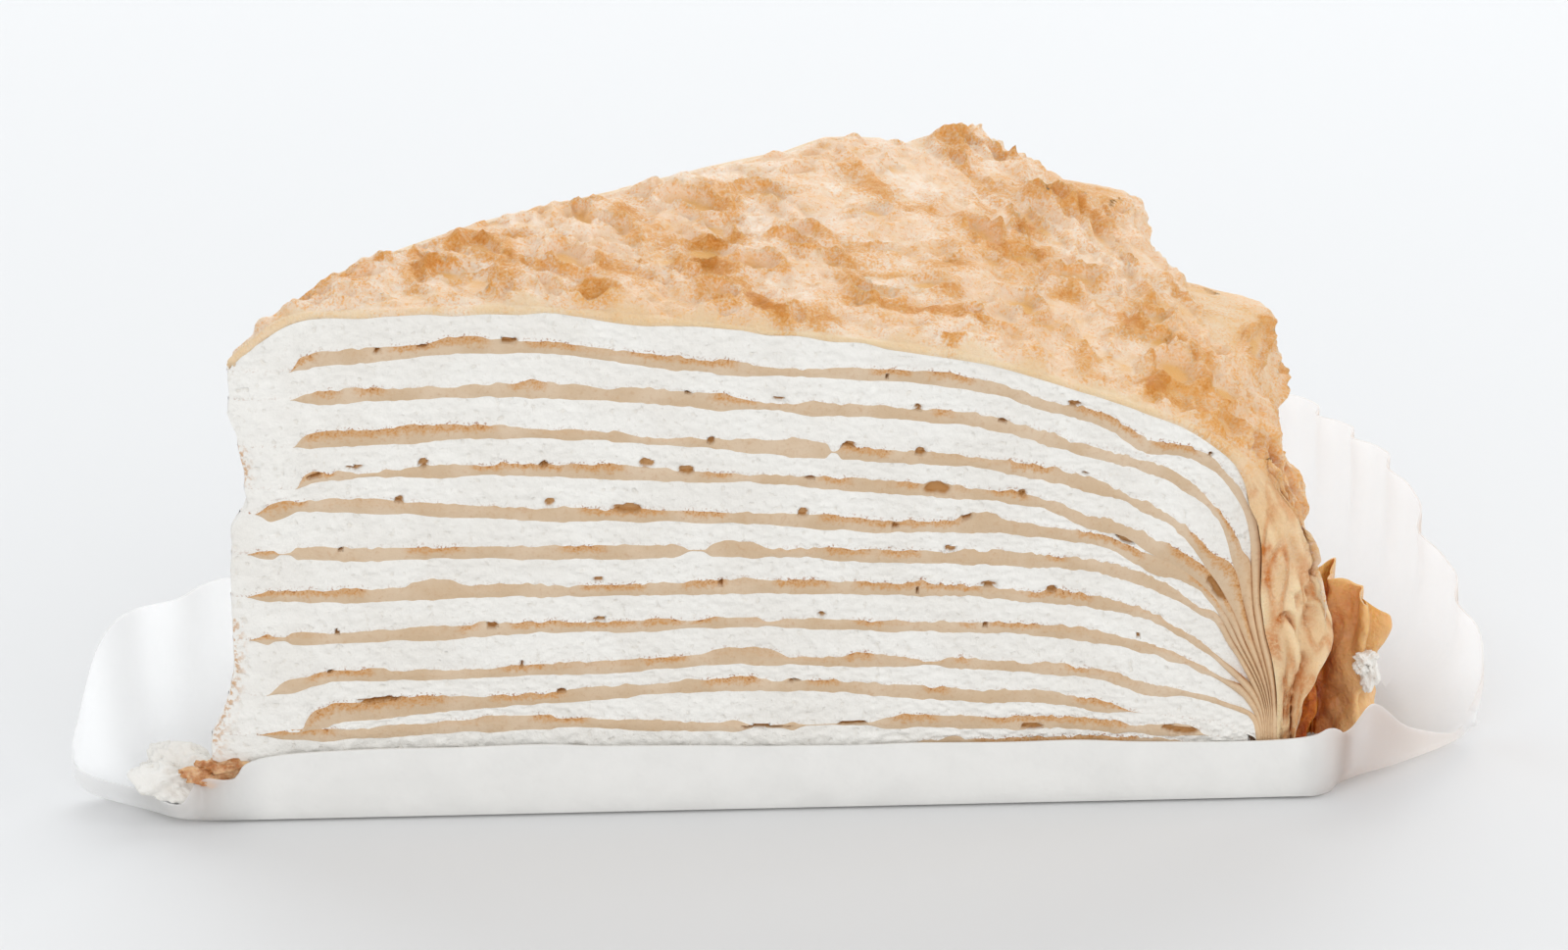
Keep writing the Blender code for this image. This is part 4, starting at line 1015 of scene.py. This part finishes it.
base = np.array([(*station[0], 0.0) for station in PAPER_STATIONS])
edge = np.array([station[1] for station in PAPER_STATIONS])
pleated = np.array([(float(station[2]),) for station in PAPER_STATIONS])
even = np.linspace(0, 1, 4001)
ring = curve_at(base, even, True)
length = np.concatenate(([0], np.cumsum(np.linalg.norm(np.diff(ring, axis=0), axis=1))))
bm = bmesh.new()
bmesh.ops.create_grid(bm, x_segments=PAPER_AROUND, y_segments=PAPER_ROWS, size=0.5)
bmesh.ops.translate(bm, verts=bm.verts, vec=(0.5, 0.5, 0))
mesh = bpy.data.meshes.new("paper")
bm.to_mesh(mesh)
around, up, _ = shares_of(mesh)
place = np.interp(around * length[-1], length, even)
foot, rim = curve_at(base, place, True), curve_at(edge, place, True)
ahead, behind = (curve_at(edge, (place + d) % 1, True) for d in (0.004, -0.004))
out = np.stack((ahead[:, 1] - behind[:, 1], behind[:, 0] - ahead[:, 0]), axis=-1)
out = out / np.maximum(np.linalg.norm(out, axis=1), 1e-6)[:, None]
walked = around * length[-1]
phase = walked / PLEAT_PITCH + 0.25 * ripple(walked * 0.7, 0 * walked, 81)
wave = np.sin(2 * math.pi * phase) + 0.25 * np.sin(4 * math.pi * phase + 1)
lean = wave * PLEAT_DEPTH * curve_at(pleated, place, True)[:, 0] * up
lean = lean + 0.03 * up * ripple(walked * 0.9, up * 2, 82) * (0.2 + curve_at(pleated, place, True)[:, 0])
spots = foot + (rim - foot) * up[:, None]
spots[:, :2] = foot[:, :2] + (rim - foot)[:, :2] * (1 - (1 - up[:, None]) ** 5)
spots[:, :2] += out * lean[:, None]
spots[:, 2] += 0.03 * up * ripple(walked * 1.3, 0 * walked, 83)
points = placed(*spots.T)
for vert, point in zip(bm.verts, points.tolist()):
    vert.co = point
bmesh.ops.remove_doubles(bm, verts=bm.verts, dist=1e-6)
foot_ring = [e for e in bm.edges if e.is_boundary and all(v.co.z < 1e-6 for v in e.verts)]
bmesh.ops.contextual_create(bm, geom=foot_ring)
bmesh.ops.recalc_face_normals(bm, faces=bm.faces)
bmesh.ops.solidify(bm, geom=bm.faces[:], thickness=PAPER_THICK * CM)
mesh.clear_geometry()
bm.to_mesh(mesh)
bm.free()
points = np.empty(3 * len(mesh.vertices))
mesh.vertices.foreach_get("co", points)
points = points.reshape(-1, 3)
x, y = points[:, 0] / CM - POINT[0], points[:, 1] / CM - POINT[1]
ends = np.maximum(smoothstep(0.4, -0.4, x), smoothstep(10.6, 11.1, x))
free = np.maximum(ends, smoothstep(0.4, 1.2, y))
finish(mesh, "paper", points, {"free": free}, paper_finish(), "paper", ("paper",), 40)

# ---------------------------------------------------------------------------------------
# The stand: a plain pale table that sweeps up behind, soft light all round, and the camera.
# ---------------------------------------------------------------------------------------
TABLE_WIDE, TABLE_FRONT, TABLE_BACK, TABLE_TALL = 6, -1.2, 0.6, 3
TABLE_ROUND, TABLE_SWEEP = 0.5, 12  # radius of the sweep up behind, and its steps
TABLE_CLEAR = 0.0003  # under the paper


def stage_finish():
    painted = {"Roughness": 0.5, "Specular IOR Level": 0.1, "Base Color": colour(226, 226, 226)}
    return Finish("pale_table", painted).material


bm = bmesh.new()
bmesh.ops.create_grid(bm, x_segments=1, y_segments=TABLE_SWEEP + 2, size=0.5)
for vert in bm.verts:
    step = round((vert.co.y + 0.5) * (TABLE_SWEEP + 2)) - 1
    turn = math.radians(90 * min(max(step, 0), TABLE_SWEEP) / TABLE_SWEEP)
    vert.co.x *= TABLE_WIDE
    vert.co.y = TABLE_FRONT if step < 0 else TABLE_BACK + TABLE_ROUND * math.sin(turn)
    vert.co.z = TABLE_TALL if step > TABLE_SWEEP else TABLE_ROUND * (1 - math.cos(turn)) - TABLE_CLEAR
mesh = bpy.data.meshes.new("table")
bm.to_mesh(mesh)
bm.free()
mesh.shade_smooth()
mesh.materials.append(stage_finish())
table = bpy.data.objects.new("table", mesh)
bpy.context.scene.collection.objects.link(table)


def soft_light(name, power, size, place, aim, tint):
    lamp = bpy.data.lights.new(name, "AREA")
    lamp.energy, lamp.color, lamp.shape = power, tint, "RECTANGLE"
    lamp.size, lamp.size_y = size
    made = bpy.data.objects.new(name, lamp)
    made.location = place
    made.rotation_euler = (Vector(aim) - Vector(place)).to_track_quat("-Z", "Y").to_euler()
    bpy.context.scene.collection.objects.link(made)


soft_light("back_panel", 5.4, (1.4, 0.6), (-0.05, 0.75, 0.60), (0, 0.02, 0.02), (0.94, 0.975, 1.0))
soft_light("side_panel", 1.5, (0.6, 0.6), (0.75, -0.05, 0.35), (0.04, 0, 0.02), (0.96, 0.985, 1.0))
soft_light("front_panel", 2.6, (1.2, 0.7), (-0.1, -0.9, 0.45), (0, 0, 0.03), (1.0, 0.98, 0.95))
world = bpy.data.worlds.new("studio")
bpy.context.scene.world = world
world.use_nodes = True
world.node_tree.nodes["Background"].inputs["Color"].default_value = (0.965, 0.98, 1.0, 1)
world.node_tree.nodes["Background"].inputs["Strength"].default_value = 0.80
bpy.context.scene.view_settings.view_transform = "Standard"

eye = bpy.data.cameras.new("camera")
eye.lens = 118.27
eye.sensor_width = 36
camera = bpy.data.objects.new("camera", eye)
camera.location = (-0.02534, -0.50704, 0.22437)
aim = Vector((-0.00143, -0.04407, 0.03707))
camera.rotation_euler = (aim - camera.location).to_track_quat("-Z", "Y").to_euler()
bpy.context.scene.collection.objects.link(camera)
bpy.context.scene.camera = camera
